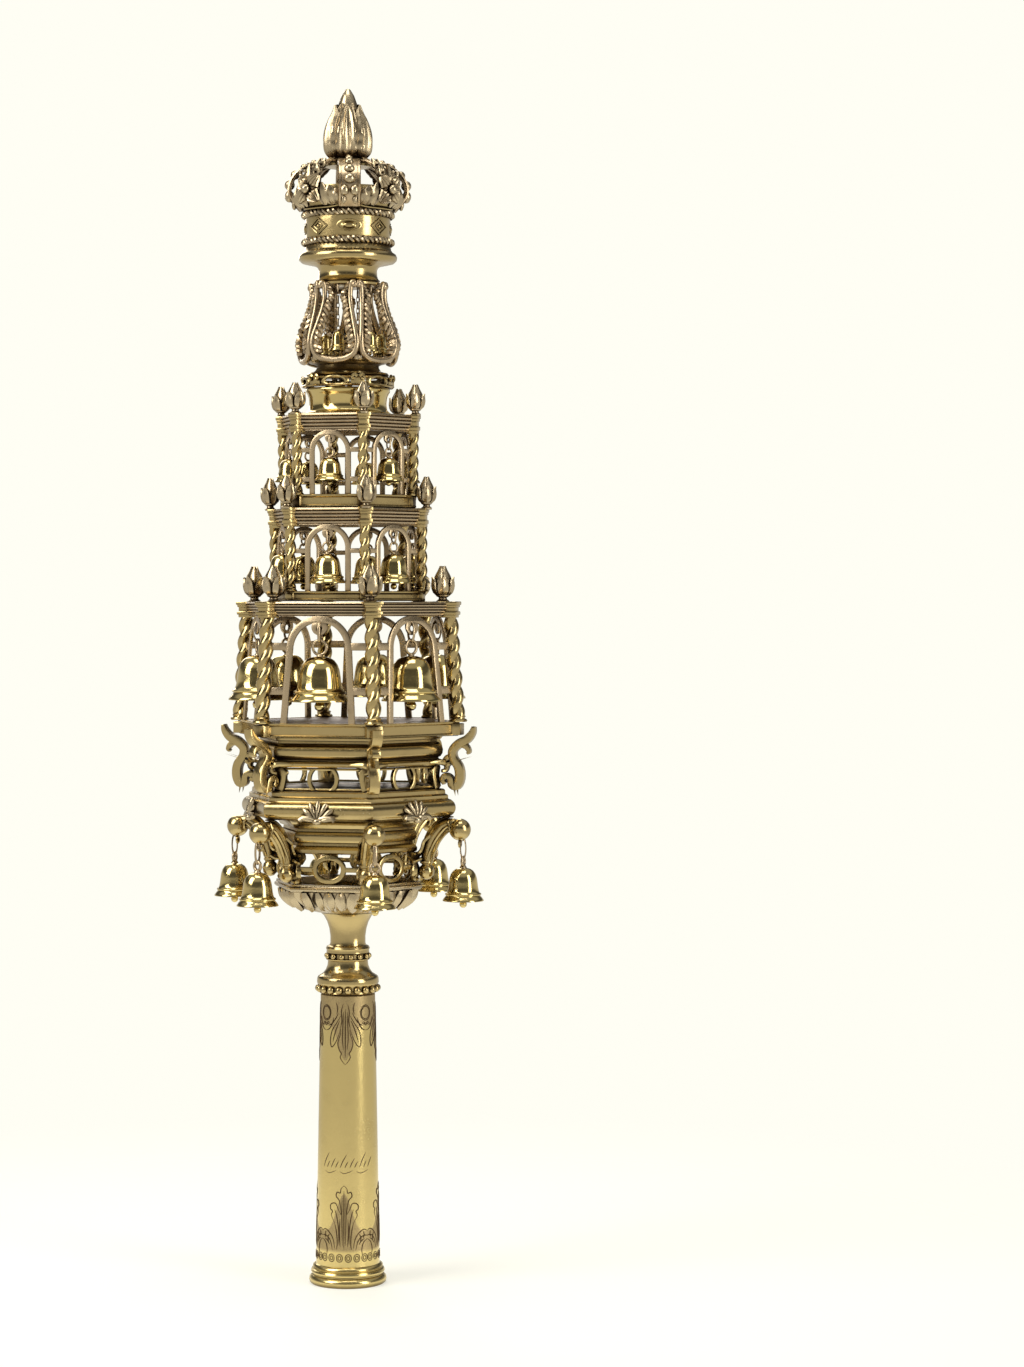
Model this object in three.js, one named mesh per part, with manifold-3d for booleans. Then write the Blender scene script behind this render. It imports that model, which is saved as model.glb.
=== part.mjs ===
// A Torah finial (rimmon) in silver-gilt: a hexagonal bell tower on a tapered hollow handle, crowned above.
// Millimetres, +Z up. The origin is the middle of the foot, on the plane that it stands on. Directions
// round the tower are in degrees from -Y towards +X, with a face at 0 and a corner at 30.
import * as THREE from "three";
import { mergeVertices } from "three/addons/utils/BufferGeometryUtils.js";
import Module from "manifold-3d";

const wasm = await Module();
wasm.setup();

// ---- Driving dimensions ----
const SIDES = 6; // of the tower
const GAP = 0.3; // between pieces that were made apart
const WALL = 1.4; // of the tower's raised sheet
const CORNER = 30; // the first corner's direction
const CROWN_TURN = 22; // the first beaded arch's direction

// Heights of the joints, from the foot up.
const HANDLE_TOP = 110.2;
const NECK_TOP = 141;
const BOWL_TOP = 153.2;
const LOWER_GALLERY_TOP = 164.4;
const SHELL_RING_TOP = 188.6;
const UPPER_GALLERY_TOP = 197.4;
const BASE_TOP = 208.4;
const MAIN_TOP = 259.3;
const MIDDLE_TOP = 294.6;
const TOP_TOP = 330.2;
const DRUM_TOP = 340.6;
const PIERCED_TOP = 344.6;
const LYRE_TOP = 380.9;
const BAND_TOP = 408;
const CAGE_TOP = 427.8;
const TIP = 455.3;

// Across the corners, as radii.
const BOWL_RIM = 29.6;
const CORNICE = 27.2;
const SHELL_RING = 42.8;
const TOP_PLATE = 38.2;
const UPPER_GALLERY = 35.4;

const HANDLE = { foot: 14, bottom: 12.15, top: 10.35, boreMouth: 11.3, boreEnd: 9.5, boreDepth: 105.5 };

// The three storeys: twisted columns between a floor and a cornice, with a bud over each column.
const MAIN = {
  bottom: BASE_TOP + GAP,
  floorTop: 214.2,
  floorRadius: 44,
  corniceBottom: 254,
  top: MAIN_TOP,
  corniceRadius: 42.3,
  postFoot: 210.2,
  postBottomRadius: 43.6,
  postTopRadius: 40.6,
  columnWidth: 6.2,
  turns: 8,
  budWidth: 7.4,
  budRadius: 37.6,
  budHeight: 13.4,
  archWidth: 25.4,
  archSplay: 1.8,
  strap: 2.3,
  archSegments: 3,
};
const MIDDLE = {
  bottom: MAIN_TOP + GAP,
  floorTop: 263.4,
  floorRadius: 31,
  corniceBottom: 288.3,
  top: MIDDLE_TOP,
  corniceRadius: 30.8,
  postFoot: 263,
  postBottomRadius: 29.3,
  postTopRadius: 29.3,
  columnWidth: 4.8,
  turns: 4,
  budWidth: 5.8,
  budRadius: 31.2,
  budHeight: 12,
  archWidth: 17.8,
  archSplay: 0,
  strap: 1.5,
  archSegments: 1.5,
};
const TOP = {
  bottom: MIDDLE_TOP + GAP,
  floorTop: 299.8,
  floorRadius: 27,
  corniceBottom: 323.8,
  top: TOP_TOP,
  corniceRadius: 27.6,
  postFoot: 299.4,
  postBottomRadius: 25.8,
  postTopRadius: 26.1,
  columnWidth: 4.4,
  turns: 4,
  budWidth: 6.2,
  budRadius: 26.8,
  budHeight: 11.4,
  archWidth: 16.1,
  archSplay: 0,
  strap: 1.5,
  archSegments: 1.5,
};

// Bells: the radius of the lip, the height of the body, then the heights of the lip and of the wire's top.
const MAIN_BELL = {
  radius: 11.1,
  height: 17,
  lip: 222.2,
  hang: 251.4,
  distance: 34.9,
  sides: 6,
  wire: 0.9,
};
const MIDDLE_BELL = {
  radius: 6.9,
  height: 11.2,
  lip: 266.3,
  hang: 285.6,
  distance: 25.4,
  sides: 6,
  wire: 0.7,
};
const TOP_BELL = {
  radius: 5.8,
  height: 8.8,
  lip: 304.8,
  hang: 321.2,
  distance: 22.6,
  sides: 6,
  wire: 0.7,
};
const OUTER_BELL = {
  radius: 7.8,
  height: 12.6,
  lip: 146.3,
  hang: 169.2,
  distance: 45.6,
  sides: 6,
  wire: 0.8,
};
const LYRE_BELL = {
  radius: 3.1,
  height: 7.6,
  lip: 354.3,
  hang: 379,
  distance: 12.4,
  sides: 5,
  wire: 0.5,
};

// ---- Finishes ----
const GILT = { color: 0xc8b478, roughness: 0.28, metalness: 1 };
const DARK_GILT = { color: 0xa08850, roughness: 0.42, metalness: 1 };
const PALE_GILT = { color: 0xcdb896, roughness: 0.34, metalness: 1 };

// ---- Shaping tools ----
const radians = THREE.MathUtils.degToRad;
const corners = Array.from({ length: SIDES }, (_, i) => CORNER + (i * 360) / SIDES);
const faces = Array.from({ length: SIDES }, (_, i) => (i * 360) / SIDES);

// The distance from the axis to the middle of a face, for a hexagon of this corner radius.
const across = (cornerRadius) => cornerRadius * Math.cos(Math.PI / SIDES);

// A closed mesh as a solid, with its shared points merged and its faces turned outwards.
function solid(geometry) {
  const bare = new THREE.BufferGeometry();
  bare.setAttribute("position", geometry.getAttribute("position"));
  bare.setIndex(geometry.getIndex());
  const merged = mergeVertices(bare, 1e-3);
  const index = merged.getIndex().array;
  const position = merged.getAttribute("position");
  const triangles = [];
  let volume = 0;
  for (let i = 0; i < index.length; i += 3) {
    const [a, b, c] = [index[i], index[i + 1], index[i + 2]];
    if (a === b || b === c || c === a) continue;
    triangles.push(a, b, c);
    const points = [a, b, c].map((at) => new THREE.Vector3().fromBufferAttribute(position, at));
    volume += points[0].dot(points[1].cross(points[2]));
  }
  if (volume < 0) triangles.reverse();
  const mesh = new wasm.Mesh({
    numProp: 3,
    vertProperties: new Float32Array(position.array),
    triVerts: new Uint32Array(triangles),
  });
  return new wasm.Manifold(mesh);
}

function geometryOf(body) {
  const { vertProperties, triVerts } = body.getMesh();
  const geometry = new THREE.BufferGeometry();
  geometry.setAttribute("position", new THREE.BufferAttribute(vertProperties, 3));
  geometry.setIndex(new THREE.BufferAttribute(triVerts, 1));
  return geometry;
}

function join(pieces) {
  return geometryOf(pieces.map(solid).reduce((sum, piece) => sum.add(piece)));
}

function cut(body, tools) {
  return geometryOf(tools.map(solid).reduce((rest, tool) => rest.subtract(tool), solid(body)));
}

// A ring or a solid turned about the Z axis from [radius, height] points, with the first edge at `start`.
function turned(profile, sides, start = 0) {
  const points = profile.map(([radius, height]) => new THREE.Vector2(radius, height));
  return new THREE.LatheGeometry(points, sides, radians(start)).rotateX(Math.PI / 2);
}

const hexagonal = (profile) => turned(profile, SIDES, CORNER);

// The same piece in each of these directions.
const around = (directions, make) => directions.map((at) => make(at).rotateZ(radians(at)));

// A flat plate, drawn as width and height, upright and square to -Y at this distance from the axis.
function plate(shape, thickness, distance, curveSegments = 6) {
  const flat = new THREE.ExtrudeGeometry(shape, { depth: thickness, bevelEnabled: false, curveSegments });
  return flat.rotateX(Math.PI / 2).translate(0, thickness / 2 - distance, 0);
}

// A plate drawn as distance from the axis and height, standing out along -Y.
function fin(shape, width) {
  const flat = new THREE.ExtrudeGeometry(shape, { depth: width, bevelEnabled: false });
  return flat.translate(0, 0, -width / 2).rotateX(Math.PI / 2).rotateZ(-Math.PI / 2);
}

// The outline of a strap that follows a curve through [x, y, thickness] points.
function strap(stations, divisions) {
  const middle = new THREE.SplineCurve(stations.map(([x, y]) => new THREE.Vector2(x, y)));
  const left = [];
  const right = [];
  for (let i = 0; i <= divisions; i++) {
    const along = i / divisions;
    const station = along * (stations.length - 1);
    const before = Math.min(Math.floor(station), stations.length - 2);
    const half = THREE.MathUtils.lerp(stations[before][2], stations[before + 1][2], station - before) / 2;
    const at = middle.getPoint(along);
    const heading = middle.getTangent(along);
    left.push(new THREE.Vector2(at.x - heading.y * half, at.y + heading.x * half));
    right.unshift(new THREE.Vector2(at.x + heading.y * half, at.y - heading.x * half));
  }
  return new THREE.Shape([...left, ...right]);
}

// A bar of `sides` sides along a smooth curve through these points.
function bar(points, radius, sides, steps) {
  const section = new THREE.Shape();
  for (let i = 0; i < sides; i++) {
    const turn = ((i + 0.5) * 2 * Math.PI) / sides;
    const [x, y] = [radius * Math.cos(turn), radius * Math.sin(turn)];
    if (i === 0) section.moveTo(x, y);
    else section.lineTo(x, y);
  }
  section.closePath();
  const extrudePath = new THREE.CatmullRomCurve3(points);
  return new THREE.ExtrudeGeometry(section, { extrudePath, steps, bevelEnabled: false });
}

const ball = (radius, x, y, z) => new THREE.OctahedronGeometry(radius).translate(x, y, z);
const roundBall = (radius, x, y, z) => new THREE.IcosahedronGeometry(radius).translate(x, y, z);

function block(width, depth, height, distance, bottom) {
  return new THREE.BoxGeometry(width, depth, height).translate(0, -distance, bottom + height / 2);
}

// ---- Handle and neck ----
function handle() {
  const tube = turned(
    [
      [0, HANDLE.boreDepth],
      [HANDLE.boreEnd, HANDLE.boreDepth],
      [HANDLE.boreMouth, 0],
      [HANDLE.foot, 0],
      [HANDLE.foot + 0.6, 1.2],
      [HANDLE.foot + 0.6, 2.6],
      [HANDLE.foot - 0.8, 3.7],
      [HANDLE.foot - 0.2, 4.8],
      [HANDLE.foot - 0.2, 6.2],
      [HANDLE.bottom, 8],
      [HANDLE.top, HANDLE_TOP],
      [0, HANDLE_TOP],
    ],
    18,
  );
  return join([tube]);
}

// The two bead rings are plain half-round rings here.
function collarNeck() {
  const bottom = HANDLE_TOP + GAP;
  const body = turned(
    [
      [0, bottom],
      [11.6, bottom],
      [12.6, 111.9],
      [11.4, 113.5],
      [11.5, 116.9],
      [8.2, 119],
      [7.6, 122.6],
      [9, 123.6],
      [9, 125.6],
      [6.7, 129.1],
      [7.2, 135],
      [10.3, NECK_TOP],
      [0, NECK_TOP],
    ],
    14,
  );
  return join([body]);
}

// The bowl turns from a round foot into a hexagonal rim, and its wall swells into gadroons.
function bowl() {
  const bottom = NECK_TOP + GAP;
  const edge = 150.5;
  const lobes = 12;
  const inset = BOWL_RIM - 1.4;
  const profile = [[0, bottom], [10.3, bottom], [18, 142.9], [24.5, 146.2], [inset, edge], [0, edge]];
  const dish = turned(profile, lobes * 2);
  const position = dish.getAttribute("position");
  for (let i = 0; i < position.count; i++) {
    const [x, y, z] = [position.getX(i), position.getY(i), position.getZ(i)];
    const step = Math.round((Math.atan2(x, -y) * lobes) / Math.PI);
    const fromFace = ((((step * 180) / lobes + 390) % 60) + 60) % 60 - 30;
    const hexagon = Math.cos(Math.PI / SIDES) / Math.cos(radians(fromFace));
    const spread = THREE.MathUtils.smoothstep(z, bottom, edge);
    const swell = 1 + 0.05 * (step % 2 ? -1 : 1) * Math.sin(Math.PI * spread);
    const scale = THREE.MathUtils.lerp(1, hexagon, spread) * swell;
    position.setXY(i, x * scale, y * scale);
  }
  const rim = hexagonal([[0, edge - 0.1], [BOWL_RIM, edge - 0.1], [BOWL_RIM, BOWL_TOP], [0, BOWL_TOP]]);
  const hollow = hexagonal([[0, 143.6], [11, 143.6], [26, 149.6], [26.6, BOWL_TOP + 1], [0, BOWL_TOP + 1]]);
  return cut(join([dish, rim]), [hollow]);
}

// ---- Galleries ----
// An oval ring between two bars that run to the corners.
function ovalPanel(half, ring, bar, middle) {
  const shape = new THREE.Shape();
  const reach = Math.asin(bar / 2 / ring.height);
  shape.moveTo(-half, middle - bar / 2);
  shape.absellipse(0, middle, ring.width, ring.height, Math.PI + reach, 2 * Math.PI - reach, false);
  shape.lineTo(half, middle - bar / 2);
  shape.lineTo(half, middle + bar / 2);
  shape.absellipse(0, middle, ring.width, ring.height, reach, Math.PI - reach, false);
  shape.lineTo(-half, middle + bar / 2);
  shape.closePath();
  const hole = new THREE.Path();
  hole.absellipse(0, middle, ring.width - bar, ring.height - bar, 0, Math.PI);
  hole.absellipse(0, middle, ring.width - bar, ring.height - bar, Math.PI, 2 * Math.PI);
  shape.holes.push(hole);
  return shape;
}

function lowerGallery() {
  const bottom = BOWL_TOP + GAP;
  const height = LOWER_GALLERY_TOP - bottom;
  const middle = bottom + height / 2;
  const radius = 27;
  const panel = ovalPanel(radius / 2, { width: 6.5, height: height / 2 }, 1.9, middle);
  const panels = around(faces, () => plate(panel, 1.3, across(radius), 2));
  const posts = around(corners, () => block(3.6, 2.6, height, radius - 0.6, bottom));
  return join([...posts, ...panels]);
}

// A panel with a round ring that its two rails cut off above and below.
function ringPanel(half, height, bottom) {
  const [outer, strapWidth, rail] = [6.1, 1.5, 0.9];
  const middle = bottom + height / 2;
  const low = height / 2 - rail;
  const shape = new THREE.Shape();
  shape.moveTo(-half, bottom);
  shape.lineTo(half, bottom);
  shape.lineTo(half, bottom + height);
  shape.lineTo(-half, bottom + height);
  shape.closePath();
  const inner = outer - strapWidth;
  const lean = Math.asin(low / inner);
  const eye = new THREE.Path();
  eye.absarc(0, middle, inner, -lean, lean, false);
  eye.absarc(0, middle, inner, Math.PI - lean, Math.PI + lean, false);
  const outerLean = Math.asin(low / outer);
  for (const hand of [-1, 1]) {
    const gap = new THREE.Path();
    const start = hand < 0 ? Math.PI - outerLean : -outerLean;
    gap.absarc(0, middle, outer, start, start + 2 * outerLean, false);
    gap.lineTo(hand * (half - 2), middle + hand * (low - 0.4));
    gap.lineTo(hand * (half - 2.2), middle - hand * (low - 0.2));
    shape.holes.push(gap);
  }
  shape.holes.push(eye);
  return shape;
}

function upperGallery() {
  const bottom = SHELL_RING_TOP + GAP;
  const height = UPPER_GALLERY_TOP - bottom;
  const panel = ringPanel(UPPER_GALLERY / 2, height, bottom);
  const panels = around(faces, () => plate(panel, 1.3, across(UPPER_GALLERY), 1.5));
  return join(panels);
}

// ---- The shell ring and the moulding over the upper gallery ----
function fan(width, height, lobes) {
  const shape = new THREE.Shape();
  shape.moveTo(-width * 0.14, 0);
  for (let i = 0; i <= lobes * 2; i++) {
    const turn = Math.PI * (1 - i / (lobes * 2));
    const reach = i % 2 ? 1 : 0.82;
    shape.lineTo((width / 2) * reach * Math.cos(turn), height * (0.18 + 0.82 * reach * Math.sin(turn)));
  }
  shape.lineTo(width * 0.14, 0);
  shape.closePath();
  return shape;
}

function shellRing() {
  const bottom = LOWER_GALLERY_TOP + GAP;
  const ring = hexagonal([
    [0, SHELL_RING_TOP],
    [TOP_PLATE, SHELL_RING_TOP],
    [TOP_PLATE + 1.6, 185.2],
    [SHELL_RING - 1, 184.6],
    [SHELL_RING, 181.6],
    [SHELL_RING - 1, 178.6],
    [CORNICE + 1.6, 177.6],
    [CORNICE - 2, 172.8],
    [CORNICE, 167.6],
    [CORNICE, bottom],
    [CORNICE - 3.2, bottom],
    [CORNICE - 4.6, 172],
    [CORNICE - 4.6, SHELL_RING_TOP - 2 * WALL],
    [0, SHELL_RING_TOP - 2 * WALL],
  ]);
  const shells = around(faces, () => {
    const shell = plate(fan(14.3, 7.2, 3), 1.6, 0);
    return shell.translate(0, -across(SHELL_RING), 177.9);
  });
  return join([ring, ...shells]);
}

function baseMoulding() {
  const bottom = UPPER_GALLERY_TOP + GAP;
  const moulding = hexagonal([
    [33, bottom],
    [38.6, bottom],
    [38.8, 199.4],
    [36.4, 200.4],
    [37.4, 203.2],
    [36.6, 206.2],
    [35.4, 206.8],
    [36.4, BASE_TOP],
    [33, BASE_TOP],
    [33, bottom],
  ]);
  return join([moulding]);
}

// ---- Arms and brackets ----
function arm() {
  const stem = bar(
    [
      new THREE.Vector3(0, -31.2, 157.6),
      new THREE.Vector3(0, -31.4, 163),
      new THREE.Vector3(0, -32.6, 169),
      new THREE.Vector3(0, -36, 174.2),
      new THREE.Vector3(0, -41, 175.7),
      new THREE.Vector3(0, -45, 174.4),
    ],
    2.2,
    4,
    6,
  );
  const knob = roundBall(4.4, 0, -45, 173.9);
  const foot = ball(3, 0, -31.8, 157.4);
  return join([stem, knob, foot]);
}

function scrollBracket() {
  const body = strap(
    [
      [38.8, 190.3, 2.2],
      [41.8, 190.6, 2.6],
      [44, 193.6, 3],
      [43.5, 197.6, 2.8],
      [41.6, 201, 2.4],
      [41.6, 204.4, 2.6],
      [44.6, 206.4, 2.8],
      [47.8, 208.2, 2.4],
      [49.6, 211.4, 1],
    ],
    9,
  );
  const leaf = new THREE.Shape([
    new THREE.Vector2(44.6, 206.8),
    new THREE.Vector2(48.4, 204.2),
    new THREE.Vector2(47.6, 208),
  ]);
  const width = 4;
  return join([fin(body, width), fin(leaf, width - 1)]);
}

// ---- Storeys ----
// A square bar that turns by an eighth at each step up, and leans in from the floor to the cornice.
function column(tier) {
  const shaft = turned(
    [
      [0, tier.postFoot],
      ...Array.from({ length: tier.turns + 1 }, (_, i) => [
        tier.columnWidth / 2,
        THREE.MathUtils.lerp(tier.postFoot, tier.corniceBottom + 0.3, i / tier.turns),
      ]),
      [0, tier.corniceBottom + 0.3],
    ],
    4,
    45,
  );
  const rows = tier.turns + 3;
  const position = shaft.getAttribute("position");
  for (let i = 0; i < position.count; i++) {
    const turn = THREE.MathUtils.clamp((i % rows) - 1, 0, tier.turns);
    const angle = radians(turn * 45);
    const [x, y] = [position.getX(i), position.getY(i)];
    const distance = THREE.MathUtils.lerp(tier.postBottomRadius, tier.postTopRadius, turn / tier.turns);
    position.setXY(
      i,
      x * Math.cos(angle) - y * Math.sin(angle),
      x * Math.sin(angle) + y * Math.cos(angle) - distance,
    );
  }
  return shaft;
}

// The leafy bud over a column, standing on the cornice.
function bud(tier) {
  const rise = (share) => tier.top + share * tier.budHeight;
  const half = tier.budWidth / 2;
  const profile = [
    [0, tier.top - 0.3],
    [half * 0.4, tier.top - 0.3],
    [half, rise(0.42)],
    [half * 0.86, rise(0.72)],
    [0, rise(1)],
  ];
  return turned(profile, 5, 0).translate(0, -tier.budRadius, 0);
}

// An arch: a strap with upright legs that splay towards the foot, drawn about its own middle.
function archShape(tier, bottom, top) {
  const half = tier.archWidth / 2;
  const inner = half - tier.strap;
  const spring = top - half;
  const shape = new THREE.Shape();
  shape.moveTo(-half - tier.archSplay, bottom);
  shape.absarc(0, spring, half, Math.PI, 0, true);
  shape.lineTo(half + tier.archSplay, bottom);
  shape.lineTo(inner + tier.archSplay, bottom);
  shape.absarc(0, spring, inner, 0, Math.PI, false);
  shape.lineTo(-inner - tier.archSplay, bottom);
  shape.closePath();
  return shape;
}

// The arch stands in the plane of its face, and leans as the posts do.
function arch(tier) {
  const low = tier.floorTop - 0.2;
  const rise = tier.corniceBottom + 0.2 - low;
  const lowDistance = across(tier.postBottomRadius);
  const highDistance = across(tier.postTopRadius);
  const lean = Math.atan2(lowDistance - highDistance, rise);
  const upright = plate(archShape(tier, -rise, 0), 1.2, 0, tier.archSegments);
  return upright.rotateX(-lean).translate(0, -highDistance, low + rise);
}

function storey(tier) {
  const floorWall = 2.4;
  const floor = hexagonal([
    [0, tier.floorTop],
    [tier.floorRadius, tier.floorTop],
    [tier.floorRadius, tier.bottom],
    [tier.floorRadius - floorWall, tier.bottom],
    [tier.floorRadius - floorWall, tier.floorTop - WALL],
    [0, tier.floorTop - WALL],
  ]);
  const cornice = hexagonal([
    [0, tier.top],
    [tier.corniceRadius, tier.top],
    [tier.corniceRadius - 1, tier.corniceBottom],
    [tier.corniceRadius - 4.6, tier.corniceBottom],
    [tier.corniceRadius - 4.6, tier.top - WALL],
    [0, tier.top - WALL],
  ]);
  const columns = around(corners, () => column(tier));
  const buds = around(corners, () => bud(tier));
  const arches = around(faces, () => arch(tier));
  return join([floor, cornice, ...columns, ...buds, ...arches]);
}

// ---- Bells ----
// A hollow bell with the wire that it hangs by: one turned profile, a little off square.
function bell({ radius, height, lip, distance, hang, sides, wire }) {
  const profile = [
    [0, hang - lip],
    [wire, hang - lip],
    [wire, height * 1.04],
    [radius * 0.6, height * 0.84],
    [radius * 0.74, height * 0.24],
    [radius, 0],
    [radius * 0.86, 0],
    [radius * 0.58, height * 0.6],
    [0, height * 0.7],
  ];
  return join([turned(profile, sides, 7)]).translate(0, -distance, lip);
}

// ---- Drum, pierced ring and lyre stage ----
function drum() {
  const bottom = TOP_TOP + GAP;
  const wall = turned(
    [
      [13.6, bottom],
      [16, bottom],
      [15, 332.6],
      [14.7, 336],
      [15.2, 339.2],
      [15.8, DRUM_TOP],
      [13.8, DRUM_TOP],
      [13.6, bottom],
    ],
    12,
    15,
  );
  return join([wall]);
}

function piercedRing() {
  const bottom = DRUM_TOP + GAP;
  const band = turned(
    [
      [15.2, bottom],
      [17.6, bottom],
      [17.2, PIERCED_TOP],
      [14.6, PIERCED_TOP],
      [15.2, bottom],
    ],
    12,
    15,
  );
  const holes = around(faces, () => block(8.2, 8, 2.4, 16, (bottom + PIERCED_TOP) / 2 - 1.1));
  return cut(band, holes);
}

function lyre() {
  const half = [
    [4.4, 380, 12.2],
    [3.9, 373.4, 12.8],
    [5.2, 368, 14.8],
    [6.8, 362.6, 17.6],
    [7.4, 358, 18.7],
    [6.2, 354, 17.4],
  ];
  const point = ([aside, height, reach]) =>
    new THREE.Vector3(aside, -Math.sqrt(reach * reach - aside * aside), height);
  const mirrored = half.map(([aside, height, reach]) => [-aside, height, reach]).reverse();
  const points = [...half, [0, 352.2, 14], ...mirrored].map(point);
  return bar(points, 1.6, 4, 8);
}

function lyreStage() {
  const bottom = PIERCED_TOP + GAP;
  const base = turned(
    [
      [0, bottom],
      [15.6, bottom + 0.8],
      [11.8, 348.6],
      [15.8, 351.8],
      [0, 351.8],
    ],
    12,
    15,
  );
  const topPlate = turned([[0, 379.4], [13.8, 379.4], [13.8, LYRE_TOP], [0, LYRE_TOP]], 12, 15);
  return join([base, topPlate, ...around(faces, lyre)]);
}

// ---- Crown and flame ----
// The middle line of an arch of the crown, as distance from the axis and height.
const cageLine = [
  [21, 415.4, 1.2],
  [20.4, 419.4, 2],
  [17, 423.4, 2],
  [12, 425.8, 2],
  [6.2, 426.6, 1.4],
];

function crown() {
  const bottom = LYRE_TOP + GAP;
  const cup = turned(
    [
      [0, bottom],
      [11.2, bottom],
      [11.2, 387],
      [17.8, 388.6],
      [18.5, 391],
      [16.6, 394.6],
      [16.6, 406.8],
      [16, BAND_TOP],
      [21.4, 411.6],
      [22.2, 415.6],
      [20.6, 415.8],
      [14.6, BAND_TOP],
      [14.6, 396],
      [0, 396],
    ],
    12,
    CROWN_TURN + 15,
  );
  const quarters = [0, 90, 180, 270].map((at) => at + CROWN_TURN);
  const rib = (width) => fin(strap(cageLine, 4), width);
  const beaded = around(quarters, () => rib(6.8));
  const leafy = around(quarters.map((at) => at + 45), () => rib(4.6));
  const cap = turned([[0, 425.2], [9, 425.2], [8, CAGE_TOP], [0, CAGE_TOP]], 8, CROWN_TURN + 22.5);
  const rosettes = around(quarters.map((at) => at + 45), () => rosette(21.9, 411.8));
  return join([cup, cap, ...beaded, ...leafy, ...rosettes]);
}

// Four pointed leaves round a bead, standing on the cage's wall.
function rosette(distance, height) {
  const points = Array.from({ length: 8 }, (_, i) => {
    const reach = i % 2 ? 6.4 : 2.2;
    const turn = (i * Math.PI) / 4;
    return new THREE.Vector2(reach * Math.cos(turn), height + reach * Math.sin(turn));
  });
  return join([plate(new THREE.Shape(points), 1.6, distance), ball(2.2, 0, -distance - 0.8, height)]);
}

function flame() {
  const leaves = 6;
  const bottom = CAGE_TOP + GAP;
  const height = TIP - bottom;
  const bud = turned(
    [
      [0, bottom],
      [6.8, bottom],
      [8.9, bottom + height * 0.16],
      [9.1, bottom + height * 0.34],
      [7.6, bottom + height * 0.55],
      [5.2, bottom + height * 0.76],
      [3.4, bottom + height * 0.8],
      [0, TIP],
    ],
    leaves * 2,
  );
  const position = bud.getAttribute("position");
  for (let i = 0; i < position.count; i++) {
    const [x, y, z] = [position.getX(i), position.getY(i), position.getZ(i)];
    const side = Math.round((Math.atan2(x, -y) * leaves) / Math.PI);
    const depth = side % 2 && z < bottom + height * 0.78 ? 0.84 : 1;
    position.setXY(i, x * depth, y * depth);
  }
  return join([bud]);
}

// ---- The whole finial ----
const group = new THREE.Group();

function add(name, geometry, finish = GILT, direction = 0) {
  const mesh = new THREE.Mesh(geometry, new THREE.MeshStandardMaterial({ ...finish, flatShading: true }));
  mesh.name = name;
  mesh.rotation.z = radians(direction);
  group.add(mesh);
}

function addSix(name, geometry, directions, finish = GILT) {
  directions.forEach((at, i) => add(`${name}_${i + 1}`, geometry, finish, at));
}

add("handle", handle());
add("collar_neck", collarNeck());
add("bowl", bowl(), DARK_GILT);
add("lower_gallery", lowerGallery());
add("shell_ring", shellRing());
add("upper_gallery", upperGallery());
add("base_moulding", baseMoulding());
addSix("arm", arm(), corners);
addSix("scroll_bracket", scrollBracket(), corners);
add("main_tier", storey(MAIN), PALE_GILT);
add("middle_tier", storey(MIDDLE), PALE_GILT);
add("top_tier", storey(TOP), PALE_GILT);
addSix("outer_bell", bell(OUTER_BELL), corners);
addSix("main_bell", bell(MAIN_BELL), faces);
addSix("middle_bell", bell(MIDDLE_BELL), faces);
addSix("top_bell", bell(TOP_BELL), faces);
add("drum", drum());
add("pierced_ring", piercedRing());
add("lyre_stage", lyreStage(), PALE_GILT);
addSix("lyre_bell", bell(LYRE_BELL), faces);
add("crown", crown());
add("flame", flame(), DARK_GILT);

export default group;
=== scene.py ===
"""The looks of the Torah finial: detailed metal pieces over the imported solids, a pale floor and soft light.

Shapes are made in millimetres and each finished piece is scaled to metres. Directions round the tower are in
degrees from -Y towards +X, with a face at 0 and a corner at 30.
"""

import math

import bmesh
import bpy
from mathutils import Matrix, Vector


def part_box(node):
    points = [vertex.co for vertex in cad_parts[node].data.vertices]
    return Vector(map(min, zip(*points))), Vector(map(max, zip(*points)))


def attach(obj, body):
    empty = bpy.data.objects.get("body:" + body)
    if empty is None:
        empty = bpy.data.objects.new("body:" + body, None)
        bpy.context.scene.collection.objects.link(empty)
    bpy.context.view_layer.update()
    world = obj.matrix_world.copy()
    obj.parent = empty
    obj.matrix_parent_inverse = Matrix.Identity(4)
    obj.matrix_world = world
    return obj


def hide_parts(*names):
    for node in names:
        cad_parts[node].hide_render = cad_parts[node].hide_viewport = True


bl_info = {
    "name": "Torah Finial",
    "version": (1, 0, 0),
    "blender": (4, 5, 0),
    "location": "View3D > Sidebar > Finial",
    "description": "Builds the visible metalwork of a silver-gilt Torah finial over its solids",
    "category": "Object",
}

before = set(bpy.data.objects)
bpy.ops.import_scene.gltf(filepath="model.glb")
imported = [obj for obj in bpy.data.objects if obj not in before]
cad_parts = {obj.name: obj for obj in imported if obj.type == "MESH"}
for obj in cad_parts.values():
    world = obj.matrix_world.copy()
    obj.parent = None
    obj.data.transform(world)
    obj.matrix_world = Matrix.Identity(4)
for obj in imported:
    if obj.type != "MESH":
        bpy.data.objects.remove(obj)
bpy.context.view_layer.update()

MM = 0.001
SIDES = 6
FACES = [i * 360 / SIDES for i in range(SIDES)]
CORNERS = [at + 180 / SIDES for at in FACES]


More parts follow.
